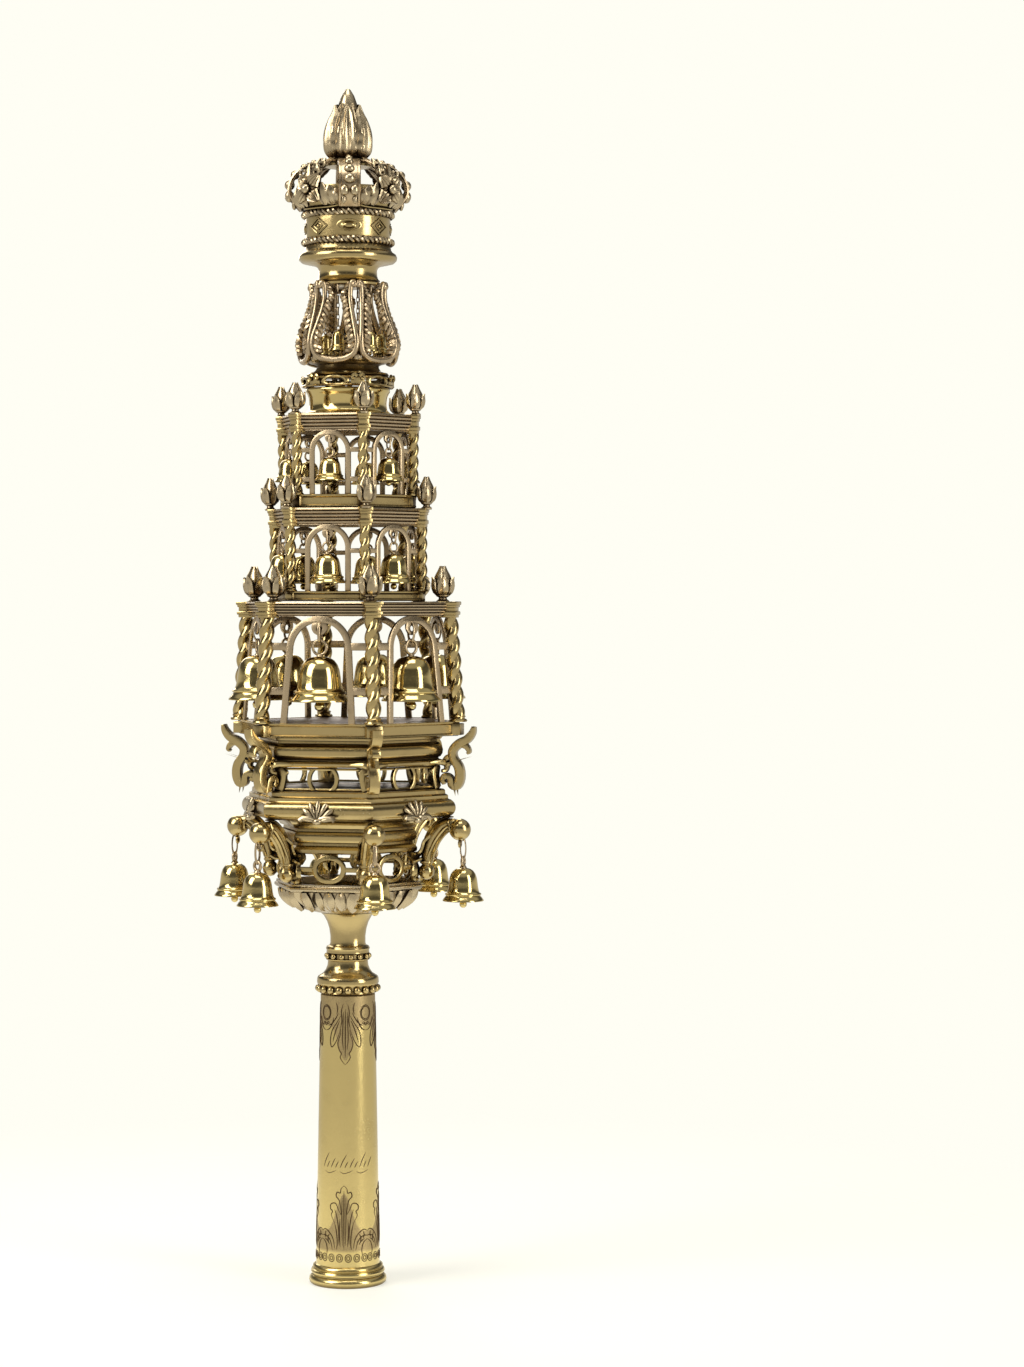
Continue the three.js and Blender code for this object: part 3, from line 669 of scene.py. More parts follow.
# ---- Handle ----
class FINIAL_OT_handle(bpy.types.Operator):
    """Makes the tapered tube with its foot rings, engraved leaf bands and rows of engraved strokes"""

    bl_idname = "finial.handle"
    bl_label = "Handle"

    def execute(self, context):
        room = Room("handle")
        self.foot, self.top = 12.15, 10.35
        self.bottom, self.length = room.up(8.2), room.high - room.up(8.2)
        self.line = context.scene.finial_shape.engraving / MM / 2
        piece = bmesh.new()
        tube_wall = [
            (0, room.down(4.7)),
            (9.5, room.down(4.7)),
            (11.3, room.low),
            (13.9, room.low),
            (14.5, room.up(0.5)),
            (14.8, room.up(1.5)),
            (14.6, room.up(2.5)),
            (13.9, room.up(3.2)),
            (13.2, room.up(3.5)),
            (13.2, room.up(3.8)),
            (13.9, room.up(4.2)),
            (14.1, room.up(4.8)),
            (13.8, room.up(5.5)),
            (13.1, room.up(5.8)),
            (13.1, room.up(6.0)),
            (13.4, room.up(6.5)),
            (13.2, room.up(7.1)),
            (12.6, room.up(7.5)),
            (self.foot + 0.05, room.up(7.7)),
            (self.foot, self.bottom),
            *[(self.radius(z), z) for z in (room.up(40), room.up(75), room.down(5))],
            (self.top, room.down(0.4)),
            (self.top - 0.4, room.high),
            (0, room.high),
        ]
        put(piece, turned(tube_wall, 96))
        self.upper_band(piece, room)
        self.lower_band(piece, room)
        self.strokes(piece, room)
        finish_piece("handle_tube", piece, ["handle"], [tube_gilt(room), engraved()])
        return {"FINISHED"}

    def radius(self, z):
        return self.foot + (self.top - self.foot) * (z - self.bottom) / self.length

    def engrave(self, piece, points, at, width=1.0, closed=False, mirrored=False):
        """A dark line on the tube through (aside, height) points, drawn round this direction in degrees."""
        path = []
        for x, z in smooth(points, 4, closed):
            radius = self.radius(z)
            turn = math.radians(at) + (-x if mirrored else x) / radius
            path.append(Vector((radius * math.sin(turn), -radius * math.cos(turn), z)))
        radii = self.line * width
        if not closed:
            radii = swelling(path, [radii * 0.35, radii, radii * 1.15, radii, radii * 0.35])
        put(piece, tube(path, radii, closed, 0), finish=1)

    def upper_band(self, piece, room):
        """Hanging leaves with an oval between each two."""
        top = room.high
        outline = [
            [(1.8, -7.5), (3.2, -10), (5.3, -13.2), (6.1, -16.8), (5.6, -19.4), (4.2, -18.2), (2.7, -15.2), (1.8, -12.4)],
            [(1.7, -12.6), (1.9, -14.6), (2.9, -17.8), (2.3, -20.4), (1.5, -21.8), (1.9, -23.2), (0.9, -25), (0, -26)],
            [(0.9, -3.2), (1.5, -6), (1.3, -9.4), (1.9, -12.4)],
            [(0.7, -6), (0.9, -11), (1.1, -16), (0.7, -20.4)],
            [(2.2, -9.4), (3.9, -13.6), (5.0, -17.6)],
            [(2.6, -6.4), (3.9, -8.8), (5.4, -10.6), (7.0, -11.4)],
            [(4.6, -8.2), (5.2, -10.4), (6.6, -12.6), (8.2, -13.2)],
            [(3.6, -2.6), (3.0, -4.8), (3.4, -7)],
        ]
        for i in range(4):
            at = 12 + 90 * i
            self.engrave(piece, [(0, top - 5), (0, top - 14), (0, top - 23.4)], at)
            for points in outline:
                for mirrored in (False, True):
                    self.engrave(piece, [(x, top + z) for x, z in points], at, mirrored=mirrored)
            for size in (1.0, 0.82):
                ring = oval(0, top - 6.6, 4.6 * size, 5.8 * size, 12)
                self.engrave(piece, ring, at + 45, 0.9, closed=True)
            for x, z in ((-1, -10.4), (0, -10.9), (1, -10.4)):
                self.engrave(piece, oval(x, top + z, 0.9, 0.8, 6), at + 45, 0.8, closed=True)

    def lower_band(self, piece, room):
        """Standing leaves between curled ones, over a row of small ovals."""
        low = room.low
        outline = [
            [(0, 38.6), (1.1, 37.4), (1.4, 35.8), (2.6, 36.1), (3.0, 34.6), (1.8, 33), (1.3, 30.5), (1.1, 27.8)],
            [(1.1, 27.6), (2.2, 29.6), (3.3, 31.9), (5.2, 31.5), (5.5, 29.8), (4.6, 28.8), (5.1, 27.3), (3.7, 24.6)],
            [(3.7, 24.6), (2.9, 21), (2.6, 17), (2.9, 14.4)],
            [(1.5, 26), (1.7, 21), (1.4, 15.4)],
            [(3.6, 29.6), (2.7, 26.4), (2.1, 22), (2.0, 16.4)],
            [(0.7, 34), (0.8, 28), (0.7, 22), (0.6, 16)],
            [(3.6, 14.8), (4.4, 18.6), (6.2, 21), (8.0, 21.9), (9.4, 21.2)],
            [(4.6, 14.2), (5.4, 17.4), (6.9, 19.2), (8.6, 19.6), (9.4, 19.4)],
            [(7.2, 12.2), (7.0, 14.6), (7.8, 17), (9.4, 18.2)],
            [(5.8, 16.2), (6.8, 17.6), (8.2, 18.4)],
            [(5.9, 20.2), (6.6, 18.9), (6.4, 17.4)],
            [(7.7, 21.2), (8.0, 19.8), (7.6, 18.6)],
        ]
        for i in range(4):
            at = 10 + 90 * i
            self.engrave(piece, [(0, 36.6), (0, 28), (0, 14.6)], at)
            for points in outline:
                for mirrored in (False, True):
                    self.engrave(piece, [(x, low + z) for x, z in points], at, mirrored=mirrored)
            for x in (1.7, 5.0, 8.2):
                for mirrored in (False, True):
                    for size in (1.0, 0.5):
                        ring = oval(x, low + 11.2, 2.4 * size, 2.9 * size, 9)
                        self.engrave(piece, ring, at, 0.85, closed=True, mirrored=mirrored)

    def strokes(self, piece, room):
        """Shallow slanting strokes in a row, which spell nothing."""
        low = room.low + 45.3
        heights = (5.6, 2.4, 3.6, 2.4, 5.0, 2.4, 3.6, 2.4, 5.6, 2.4, 3.6)
        for i, height in enumerate(heights):
            x = -9.8 + i * 1.85
            lean = 0.5 * height
            stroke = [(x, low), (x + lean * 0.42, low + height * 0.5), (x + lean, low + height)]
            self.engrave(piece, stroke, 14.5, 0.8)
        for i in range(3):
            x = -9 + i * 6.4
            sweep = [(x, low - 1.4), (x + 1.6, low - 2.1), (x + 3.4, low - 1.7), (x + 5, low - 1.0)]
            self.engrave(piece, sweep, 14.5, 0.6)


def tube_gilt(room):
    """Polished gilt with matted leaf bands above and below."""
    look = bpy.context.scene.finial_finish
    made = metal("Tube Gilt", look.bright_gilt, look.tarnish_and_shade, look.recess * 0.7, 0.1, 0.2, 0.03)
    tree = made.node_tree
    new, link = tree.nodes.new, tree.links.new
    place, parts = new("ShaderNodeTexCoord"), new("ShaderNodeSeparateXYZ")
    link(place.outputs["Object"], parts.inputs[0])

    def calculated(operation, *values):
        step = new("ShaderNodeMath")
        step.operation = operation
        for value, slot in zip(values, step.inputs):
            if isinstance(value, (int, float)):
                slot.default_value = value
            else:
                link(value, slot)
        return step.outputs[0]

    def within(value, low, high):
        made_range = new("ShaderNodeMapRange")
        made_range.interpolation_type = "SMOOTHSTEP"
        made_range.inputs["From Min"].default_value = low
        made_range.inputs["From Max"].default_value = high
        link(value, made_range.inputs["Value"])
        return made_range.outputs["Result"]

    direction = calculated("ARCTAN2", parts.outputs["X"], calculated("MULTIPLY", parts.outputs["Y"], -1))

    def scallop(first):
        """One where a leaf's middle is and nothing half-way to the next."""
        wave = calculated("COSINE", calculated("MULTIPLY", calculated("SUBTRACT", direction, math.radians(first)), 4))
        return calculated("POWER", calculated("ADD", calculated("MULTIPLY", wave, 0.5), 0.5), 2.2)

    upper_edge = calculated("SUBTRACT", (room.high - 11.5) * MM, calculated("MULTIPLY", scallop(12), 13 * MM))
    upper = within(calculated("SUBTRACT", parts.outputs["Z"], upper_edge), -0.4 * MM, 0.6 * MM)
    lower_edge = calculated("ADD", (room.low + 21.5) * MM, calculated("MULTIPLY", scallop(10), 14 * MM))
    lower = within(calculated("SUBTRACT", lower_edge, parts.outputs["Z"]), -0.4 * MM, 0.6 * MM)
    lower = calculated("MULTIPLY", lower, within(parts.outputs["Z"], (room.low + 13) * MM, (room.low + 14.5) * MM))
    band = calculated("MAXIMUM", upper, lower)
    grain = new("ShaderNodeTexVoronoi")
    grain.inputs["Scale"].default_value = 2600
    link(place.outputs["Object"], grain.inputs["Vector"])
    matted = calculated("MULTIPLY", band, calculated("ADD", calculated("MULTIPLY", grain.outputs["Distance"], 0.5), 0.45))
    shader = tree.nodes["Principled BSDF"]
    aged_and_shaded = tree.nodes["Group"]
    dull = new("ShaderNodeMix")
    dull.data_type = "RGBA"
    dull.inputs["B"].default_value = (0.34, 0.25, 0.14, 1)
    link(matted, dull.inputs["Factor"])
    link(aged_and_shaded.outputs["Color"], dull.inputs["A"])
    link(dull.outputs["Result"], shader.inputs["Base Color"])
    rough = calculated("ADD", aged_and_shaded.outputs["Roughness"], calculated("MULTIPLY", matted, 0.35))
    link(rough, shader.inputs["Roughness"])
    return made


class FINIAL_OT_collar_neck(bpy.types.Operator):
    """Makes the collar and neck with their two rings of beads"""

    bl_idname = "finial.collar_neck"
    bl_label = "Collar and Neck"

    def execute(self, context):
        room = Room("collar_neck")
        shape = context.scene.finial_shape
        piece = bmesh.new()
        profile = [
            (0, room.low),
            (10.7, room.low),
            (11.2, room.up(0.3)),
            (11.0, room.up(0.9)),
            (10.6, room.up(1.5)),
            (11.0, room.up(2.7)),
            (11.5, room.up(3.2)),
            (11.8, room.up(4.0)),
            (11.7, room.up(5.6)),
            (11.3, room.up(6.3)),
            (10.6, room.up(6.7)),
            (9.4, room.up(7.5)),
            (8.4, room.up(8.8)),
            (7.8, room.up(10.4)),
            (7.6, room.up(12.2)),
            (8.3, room.up(12.6)),
            (8.4, room.up(12.9)),
            (7.5, room.up(13.3)),
            (7.5, room.up(14.8)),
            (8.2, room.up(15.3)),
            (8.1, room.up(16.2)),
            (8.4, room.up(16.9)),
            (8.0, room.up(17.7)),
            (7.0, room.up(18.1)),
            (6.7, room.up(19)),
            (6.7, room.up(21.5)),
            (7.1, room.up(24.4)),
            (7.9, room.up(27)),
            (9.2, room.up(29.4)),
            (10.4, room.high),
            (0, room.high),
        ]
        put(piece, turned(profile, 72))
        for count, radius, distance, height in (
            (shape.beads, 1.42, 11.2, room.up(1.7)),
            (shape.neck_beads, 1.12, 8.0, room.up(14.0)),
        ):
            directions = [i * 360 / count for i in range(count)]
            bead = ball(radius, depth=0.95, height=0.98, fine=10)
            put(piece, bead, around(directions, shifted(y=-distance, z=height)))
        finish_piece("collar_and_neck", piece, ["collar_neck"], [gilt()])
        return {"FINISHED"}


class FINIAL_OT_bowl(bpy.types.Operator):
    """Makes the hollow gadrooned bowl that turns from a round foot into a six-sided rim"""

    bl_idname = "finial.bowl"
    bl_label = "Bowl"

    def execute(self, context):
        room = Room("bowl")
        gadroons = context.scene.finial_shape.gadroons * SIDES
        piece = bmesh.new()
        rim = room.reach
        outer = [(0, 0), (10.4, 0), (13.5, 0.4), (17.6, 1.5), (21.2, 3.1), (24.4, 5.2), (26.8, 7.4), (rim - 1.5, 9.4)]
        inner = [(rim - 3.2, 9.4), (24.5, 7.4), (20, 4.6), (14, 2.9), (0, 2.5)]
        profile = [tuple(p) for p in smooth(outer, 3)] + inner
        dish = turned([(r, room.low + z) for r, z in profile], gadroons * 8)
        depth = 9.4
        for vert in dish.verts:
            rise = (vert.co.z - room.low) / depth
            distance = math.hypot(vert.co.x, vert.co.y)
            direction = math.degrees(math.atan2(vert.co.x, -vert.co.y))
            from_face = (direction + 30) % 60 - 30
            hexagon = math.cos(math.pi / SIDES) / math.cos(math.radians(from_face))
            spread = min(max(rise * 1.15 - 0.1, 0), 1)
            spread = spread * spread * (3 - 2 * spread)
            is_outside = distance > 10.5 and vert.normal.z < 0.05
            lobe = abs(math.sin(math.radians(direction) * gadroons / 2)) ** 0.6
            swell = 0.1 * (lobe - 0.7) * math.sin(math.pi * min(rise * 1.1, 1)) if is_outside else 0
            scale = (1 + (hexagon - 1) * spread) * (1 + swell)
            vert.co.x *= scale
            vert.co.y *= scale
        put(piece, dish)
        lip = [
            (rim - 3.2, room.up(9.0)),
            (rim - 1.2, room.up(9.0)),
            (rim - 0.5, room.up(9.4)),
            (rim, room.up(10.0)),
            (rim - 0.1, room.up(10.7)),
            (rim - 0.7, room.up(11.0)),
            (rim - 0.9, room.up(11.3)),
            (rim - 0.8, room.high),
            (rim - 3.2, room.high),
        ]
        put(piece, hexagonal(lip))
        self.leaves(piece, room)
        finish_piece("gadrooned_bowl", piece, ["bowl"], [cast_gilt()], crisp=50)
        return {"FINISHED"}

    def leaves(self, piece, room):
        """Small pointed leaves that lie under the rim."""
        line = [(20.8, room.up(1.9)), (24.0, room.up(3.9)), (26.3, room.up(6.3)), (27.2, room.up(8.9))]
        directions = [face + turn for face in FACES for turn in (-22, -11, 0, 11, 22)]
        for direction in directions:
            from_face = (direction + 30) % 60 - 30
            hexagon = math.cos(math.pi / SIDES) / math.cos(math.radians(from_face))
            stretch = [(r * (1 + (hexagon - 1) * 0.55 * i / 3), z) for i, (r, z) in enumerate(line)]
            shape = leaf(stretch, [1.8, 4.0, 4.4, 2.2], 0.55, 1, 0, 0.2, 0.7, 6, 8)
            put(piece, shape, [turned_to(direction)])


# ---- Galleries and mouldings ----
class FINIAL_OT_lower_gallery(bpy.types.Operator):
    """Makes the pierced gallery of ovals and bars with its leafy corners"""

    bl_idname = "finial.lower_gallery"
    bl_label = "Lower Gallery"

    def execute(self, context):
        room = Room("lower_gallery")
        piece = bmesh.new()
        middle = (room.low + room.high) / 2
        height = room.high - room.low
        distance = across(room.reach - 0.7)
        upright = shifted(y=-distance)
        ring = plate([oval(0, middle, 13.2, height, 40), oval(0, middle, 9.4, height - 3.8, 40)], 1.7, 0.4)
        put(piece, ring, around(FACES, upright))
        half = room.reach / 2 - 0.5
        bars = [
            [(-half, middle - 0.9), (-5.4, middle - 0.9), (-5.4, middle + 0.9), (-half, middle + 0.9)],
            [(half, middle + 0.9), (5.4, middle + 0.9), (5.4, middle - 0.9), (half, middle - 0.9)],
        ]
        put(piece, plate(bars, 1.3, 0.25), around(FACES, upright))
        self.corner(piece, room)
        finish_piece("oval_gallery", piece, ["lower_gallery"], [gilt()])
        return {"FINISHED"}

    def corner(self, piece, room):
        """A post that swells into curled leaves under the arm."""
        radius = room.reach
        post = [
            (0, room.low),
            (1.9, room.low),
            (2.1, room.up(0.9)),
            (1.3, room.up(2.2)),
            (1.2, room.up(5.0)),
            (1.7, room.up(7.4)),
            (2.3, room.up(9.4)),
            (2.4, room.high),
            (0, room.high),
        ]
        put(piece, turned(post, 16), around(CORNERS, shifted(y=1.5 - radius)))
        lines = (
            ([(0.6, 0.4), (2.2, 2.0), (2.8, 4.6), (1.8, 7.0), (2.4, 8.6)], [2.2, 3.4, 3.2, 2.4, 0.8], (-38, 0, 38)),
            ([(0.6, 5.6), (1.8, 7.4), (2.6, 9.2), (3.8, 10.2)], [1.6, 2.6, 2.6, 0.8], (-62, -20, 20, 62)),
        )
        for line, widths, turns in lines:
            shape_line = [(r, room.up(z)) for r, z in line]
            for turn in turns:
                shape = leaf(shape_line, widths, 0.4, 1, 3, 0.3, 0.55, 4, 8)
                put(piece, shape, around(CORNERS, shifted(y=1.9 - radius) @ turned_to(turn)))


class FINIAL_OT_shell_ring(bpy.types.Operator):
    """Makes the lower cornice, the half-round ring with its fan shells and the stepped top plate"""

    bl_idname = "finial.shell_ring"
    bl_label = "Shell Ring"

    def execute(self, context):
        room = Room("shell_ring")
        piece = bmesh.new()
        wide = room.reach
        steps = [
            (0, room.down(2.8)),
            (22.6, room.down(2.8)),
            (22.6, room.up(7.2)),
            (24.0, room.low),
            (27.0, room.low),
            (27.5, room.up(0.5)),
            (27.5, room.up(1.6)),
            (26.9, room.up(2.4)),
            (25.8, room.up(3.1)),
            (25.7, room.up(4.0)),
            (26.7, room.up(4.4)),
            (27.3, room.up(5.4)),
            (27.3, room.up(6.9)),
            (26.7, room.up(8.0)),
            (25.9, room.up(8.4)),
            (25.8, room.up(9.3)),
            (27.2, room.up(9.7)),
            (27.9, room.up(10.9)),
            (29.6, room.up(12.3)),
            (32.0, room.up(12.9)),
            (wide - 4.2, room.up(13.2)),
            *[(wide - 3.5 + r, z) for r, z in arc(0, room.up(16.8), 3.4, -78, 80, 10)],
            (wide - 3.1, room.down(3.5)),
            (wide - 3.1, room.down(2.5)),
            (wide - 3.4, room.down(2.2)),
            (wide - 4.2, room.down(1.8)),
            (wide - 4.3, room.down(0.5)),
            (wide - 4.8, room.high),
            (0, room.high),
        ]
        put(piece, hexagonal(steps))
        # The deck is dark brown painted shade, under the storey above.
        deck = [(0, room.high + 0.12), (wide - 7.6, room.high + 0.12), (wide - 7.6, room.high - 0.6), (0, room.high - 0.6)]
        put(piece, hexagonal(deck), finish=2)
        self.shells(piece, room)
        finish_piece("shell_cornice", piece, ["shell_ring"], [gilt(), cast_gilt(), painted_shade_plate()], crisp=32)
        return {"FINISHED"}

    def shells(self, piece, room):
        """A fan of seven ribs on each face, with a small scroll at each side of its hinge."""
        face = across(room.reach) + 0.5
        foot = room.up(13.0)
        lean = tipped(-8)
        for i in range(7):
            turn = (i - 3) * 25
            length = 6.4 + 1.2 * math.cos(math.radians(turn))
            rib = ball(1, 1.15, 1.15, length / 2, 12)
            bmesh.ops.transform(rib, matrix=shifted(z=length / 2 + 0.4), verts=rib.verts)
            for vert in rib.verts:
                vert.co.x *= 0.35 + 1.0 * (vert.co.z - 0.5) / length
            aim = shifted(y=-face - 0.5, z=foot) @ lean @ tipped(turn, "Y")
            put(piece, rib, around(FACES, aim), finish=1)
        for side in (-1, 1):
            scroll = [(side * (3.6 + 3.2 * math.cos(t)), 0, 0.5 + 1.2 * math.sin(t)) for t in (0, 1, 2, 3, 4)]
            path = [Vector(p) for p in smooth(scroll, 4)]
            bar = tube(path, swelling(path, [1.0, 0.9, 0.8, 0.6, 0.5]), fine=2)
            put(piece, bar, around(FACES, shifted(y=-face - 0.7, z=foot)), finish=1)
        put(piece, ball(1.5, 1.2, 0.9, 0.8, 14), around(FACES, shifted(y=-face - 0.9, z=foot + 0.2)), finish=1)


class FINIAL_OT_upper_gallery(bpy.types.Operator):
    """Makes the pierced gallery of cut-off rings between thin rails"""

    bl_idname = "finial.upper_gallery"
    bl_label = "Upper Gallery"

    def execute(self, context):
        room = Room("upper_gallery")
        piece = bmesh.new()
        middle = (room.low + room.high) / 2
        tall = (room.high - room.low) / 2
        distance = across(room.reach - 0.5)
        cut = math.degrees(math.asin(tall / 6.15))
        low_cut = math.degrees(math.asin((tall - 0.2) / 4.6))
        for side in (0, 180):
            outer = arc(0, middle, 6.15, side - cut, side + cut)
            inner = arc(0, middle, 4.6, side + low_cut, side - low_cut)
            band = plate([outer + inner], 1.7, 0.35)
            put(piece, band, around(FACES, shifted(y=-distance)))
        for bottom in (room.low, room.high - 0.9):
            rail = [
                (room.reach - 2.0, bottom),
                (room.reach - 0.1, bottom),
                (room.reach + 0.1, bottom + 0.45),
                (room.reach - 0.1, bottom + 0.9),
                (room.reach - 2.0, bottom + 0.9),
            ]
            put(piece, hexagonal(rail))
        for side in (-1, 1):
            line = [(side * x, middle + z) for x, z in ((17.4, 4.2), (15.8, 2.6), (15.4, 0.2), (16.2, -2.2), (17.2, -4.2))]
            post = plate([ribbon(line, [2.0, 2.8, 2.2, 2.8, 3.6], 5)], 2.6, 0.4)
            put(piece, post, around(FACES, shifted(y=-distance)))
            put(piece, ball(1.2, 1, 0.8, 1, 10), around(FACES, shifted(side * 14.6, -distance - 0.3, middle + 2.4)))
        finish_piece("ring_gallery", piece, ["upper_gallery"], [gilt()])
        return {"FINISHED"}


class FINIAL_OT_base_moulding(bpy.types.Operator):
    """Makes the lip, cove and band under the main storey"""

    bl_idname = "finial.base_moulding"
    bl_label = "Base Moulding"

    def execute(self, context):
        room = Room("base_moulding")
        wide = room.reach
        piece = bmesh.new()
        profile = [
            (wide - 5.8, room.low),
            (wide - 0.5, room.low),
            (wide, room.up(0.5)),
            (wide, room.up(1.3)),
            (wide - 0.8, room.up(1.9)),
            (wide - 2.6, room.up(2.3)),
            (wide - 3.0, room.up(2.8)),
            (wide - 2.0, room.up(3.3)),
            (wide - 1.3, room.up(4.4)),
            (wide - 1.1, room.up(5.8)),
            (wide - 1.5, room.up(7.3)),
            (wide - 2.5, room.up(8.4)),
            (wide - 3.4, room.up(8.8)),
            (wide - 3.4, room.up(9.6)),
            (wide - 2.4, room.up(9.9)),
            (wide - 2.2, room.high),
            (wide - 5.8, room.high),
        ]
        put(piece, hexagonal(profile))
        self.curls(piece, room)
        finish_piece("base_band", piece, ["base_moulding"], [gilt()], crisp=32)
        return {"FINISHED"}

    def curls(self, piece, room):
        """The ends of the lip hook down beside each corner."""
        out = across(room.reach) + 0.3
        for side in (-1, 1):
            path = [
                Vector((side * x, -out + y, room.up(z)))
                for x, y, z in ((11, 0.3, 1.0), (14, -0.1, 1.1), (17, -0.5, 1.0), (19, -0.5, 0.0), (18.9, -0.2, -1.9), (17.2, 0.2, -2.3))
            ]
            path = smooth(path, 5)
            put(piece, tube(path, swelling(path, [0.3, 0.9, 1.2, 1.15, 0.95, 0.7]), fine=2), around(FACES))


# ---- Arms and brackets ----
class FINIAL_OT_arms(bpy.types.Operator):
    """Makes the six leafy S-scroll arms with their balls and eyes"""

    bl_idname = "finial.arms"
    bl_label = "Arms"

    def execute(self, context):
        room, ring = Room("arm_2"), Room("lower_gallery")
        piece = bmesh.new()
        base, top = room.low, room.high
        tip_distance = room.reach + (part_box("arm_2")[0][0] / MM) - 4.4 + room.reach
        stem = [
            (ring.reach + 3.0, base + 1.2),
            (ring.reach + 3.7, base + 6.0),
            (ring.reach + 4.3, base + 10.6),
            (ring.reach + 6.4, base + 16.0),
            (ring.reach + 10.4, base + 20.3),
            (ring.reach + 14.6, base + 20.9),
            (tip_distance, base + 19.6),
        ]
        path = smooth([Vector((0, -r, z)) for r, z in stem], 6)
        put(piece, tube(path, swelling(path, [1.3, 2.0, 2.3, 2.4, 2.3, 2.0, 1.6]), fine=4), around(CORNERS))
        self.veins(piece, path)
        knob = ball(4.15, fine=24)
        put(piece, knob, around(CORNERS, shifted(y=-tip_distance, z=top - 4.4)))
        collar = loop(2.7, 0.5, 24, 8)
        put(piece, collar, around(CORNERS, shifted(y=3.6 - tip_distance, z=top - 3.4) @ tipped(-14)))
        bulb = [
            (0, base - 0.4),
            (1.4, base),
            (2.7, base + 1.3),
            (3.0, base + 3.0),
            (2.5, base + 4.6),
            (1.7, base + 5.4),
            (2.5, base + 6.0),
            (2.5, base + 6.7),
            (1.6, base + 7.2),
            (0, base + 7.4),
        ]
        put(piece, turned(bulb, 20), around(CORNERS, shifted(y=-ring.reach - 3.5)))
        put(piece, loop(1.25, 0.5, 14, 6), around(CORNERS, shifted(y=-tip_distance, z=top - 9.7)))
        self.leaves(piece, ring.reach, base)
        finish_piece("scroll_arms", piece, six("arm"), [gilt()])
        return {"FINISHED"}

    def veins(self, piece, path):
        """Leaf ribs that run along the arm's shoulder and part from it at their tips."""
        shoulder = path[8:30]
        for turn, wind, size in ((-80, 30, 0.62), (-40, 16, 0.8), (0, 0, 0.9), (40, -16, 0.8), (80, -30, 0.62), (180, 0, 0.8)):
            line = []
            for i, at in enumerate(shoulder):
                along = i / (len(shoulder) - 1)
                heading = (shoulder[min(i + 1, len(shoulder) - 1)] - shoulder[max(i - 1, 0)]).normalized()
                beside = Vector((1, 0, 0))
                up = heading.cross(beside)
                angle = math.radians(turn + wind * math.sin(math.pi * along))
                line.append(at - (up * math.cos(angle) + beside * math.sin(angle)) * (2.15 + 0.5 * along))
            put(piece, tube(line, swelling(line, [0.2, size, size * 1.15, size, 0.25]), fine=1), around(CORNERS))

    def leaves(self, piece, inner, base):
        """Small leaves that curl off the arm's elbow and its foot."""
        back = [(inner + 5.4, base + 17.0), (inner + 2.6, base + 14.6), (inner + 1.4, base + 11.2), (inner - 0.6, base + 9.6)]
        for turn in (-3, 0, 3):
            put(piece, leaf(back, [1.4, 2.8, 2.6, 0.8], 0.6, 1, 2, 0.3, 0.8, 6, 12), around([at + turn for at in CORNERS]))
        curl = [(inner + 2.4, base + 8.4), (inner - 0.4, base + 7.4), (inner - 2.2, base + 9.0), (inner - 1.4, base + 11.0)]
        for turn in (-5, 5):
            put(piece, leaf(curl, [1.8, 2.8, 2.4, 0.9], 0.5, 1, 2, 0.3, 0.7, 4, 8), around([at + turn for at in CORNERS]))


class FINIAL_OT_scroll_brackets(bpy.types.Operator):
    """Makes the six flat S-scroll brackets with their leaf spurs"""

    bl_idname = "finial.scroll_brackets"
    bl_label = "Scroll Brackets"

    def execute(self, context):
        room = Room("scroll_bracket_2")
        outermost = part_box("scroll_bracket_2")[1][0] / MM
        piece = bmesh.new()
        base = room.low
        body = [
            (-10.6, 1.4),
            (-11.5, 3.0),
            (-10.3, 4.4),
            (-8.4, 3.4),
            (-8.0, 1.0),
            (-6.0, 0.6),
            (-4.8, 3.6),
            (-5.2, 7.6),
            (-7.3, 11),
            (-7.5, 14.0),
            (-5.0, 16.6),
            (-2.0, 18.2),
            (0.0, 20.6),
            (0.7, 23.0),
        ]
        line = [(outermost - 0.8 + r, base + z) for r, z in body]
        widths = [1.6, 2.0, 2.2, 2.2, 2.6, 3.2, 3.4, 3.3, 3.0, 3.1, 3.3, 3.1, 2.4, 1.2]
        turn_in = Matrix.Rotation(math.radians(-90), 4, "Z")
        put(piece, plate([ribbon(line, widths, 5)], 4.0, 0.25), around(CORNERS, turn_in))
        inner = [(-7.4, 11.2), (-9.4, 11.4), (-10.6, 9.8), (-9.6, 8.4), (-8.4, 9.2)]
        line = [(outermost - 0.8 + r, base + z) for r, z in inner]
        put(piece, plate([ribbon(line, [2.2, 2.0, 1.7, 1.4, 1.0], 5)], 3.8, 0.2), around(CORNERS, turn_in))
        spur = [(-4.4, 16.4), (-2.2, 15.4), (-1.2, 13.6), (-1.9, 12.8)]
        line = [(outermost - 0.8 + r, base + z) for r, z in spur]
        put(piece, plate([ribbon(line, [2.4, 2.0, 1.4, 0.9], 5)], 3.2, 0.2), around(CORNERS, turn_in))
        vein = smooth([Vector((0, 0.8 - outermost - r, base + z)) for r, z in ((-4.0, 2.6), (-3.6, 6.4), (-5.6, 10.4))], 5)
        put(piece, tube(vein, swelling(vein, [0.3, 0.6, 0.3]), fine=1), around(CORNERS))
        finish_piece("scroll_brackets", piece, six("scroll_bracket"), [gilt()])
        return {"FINISHED"}


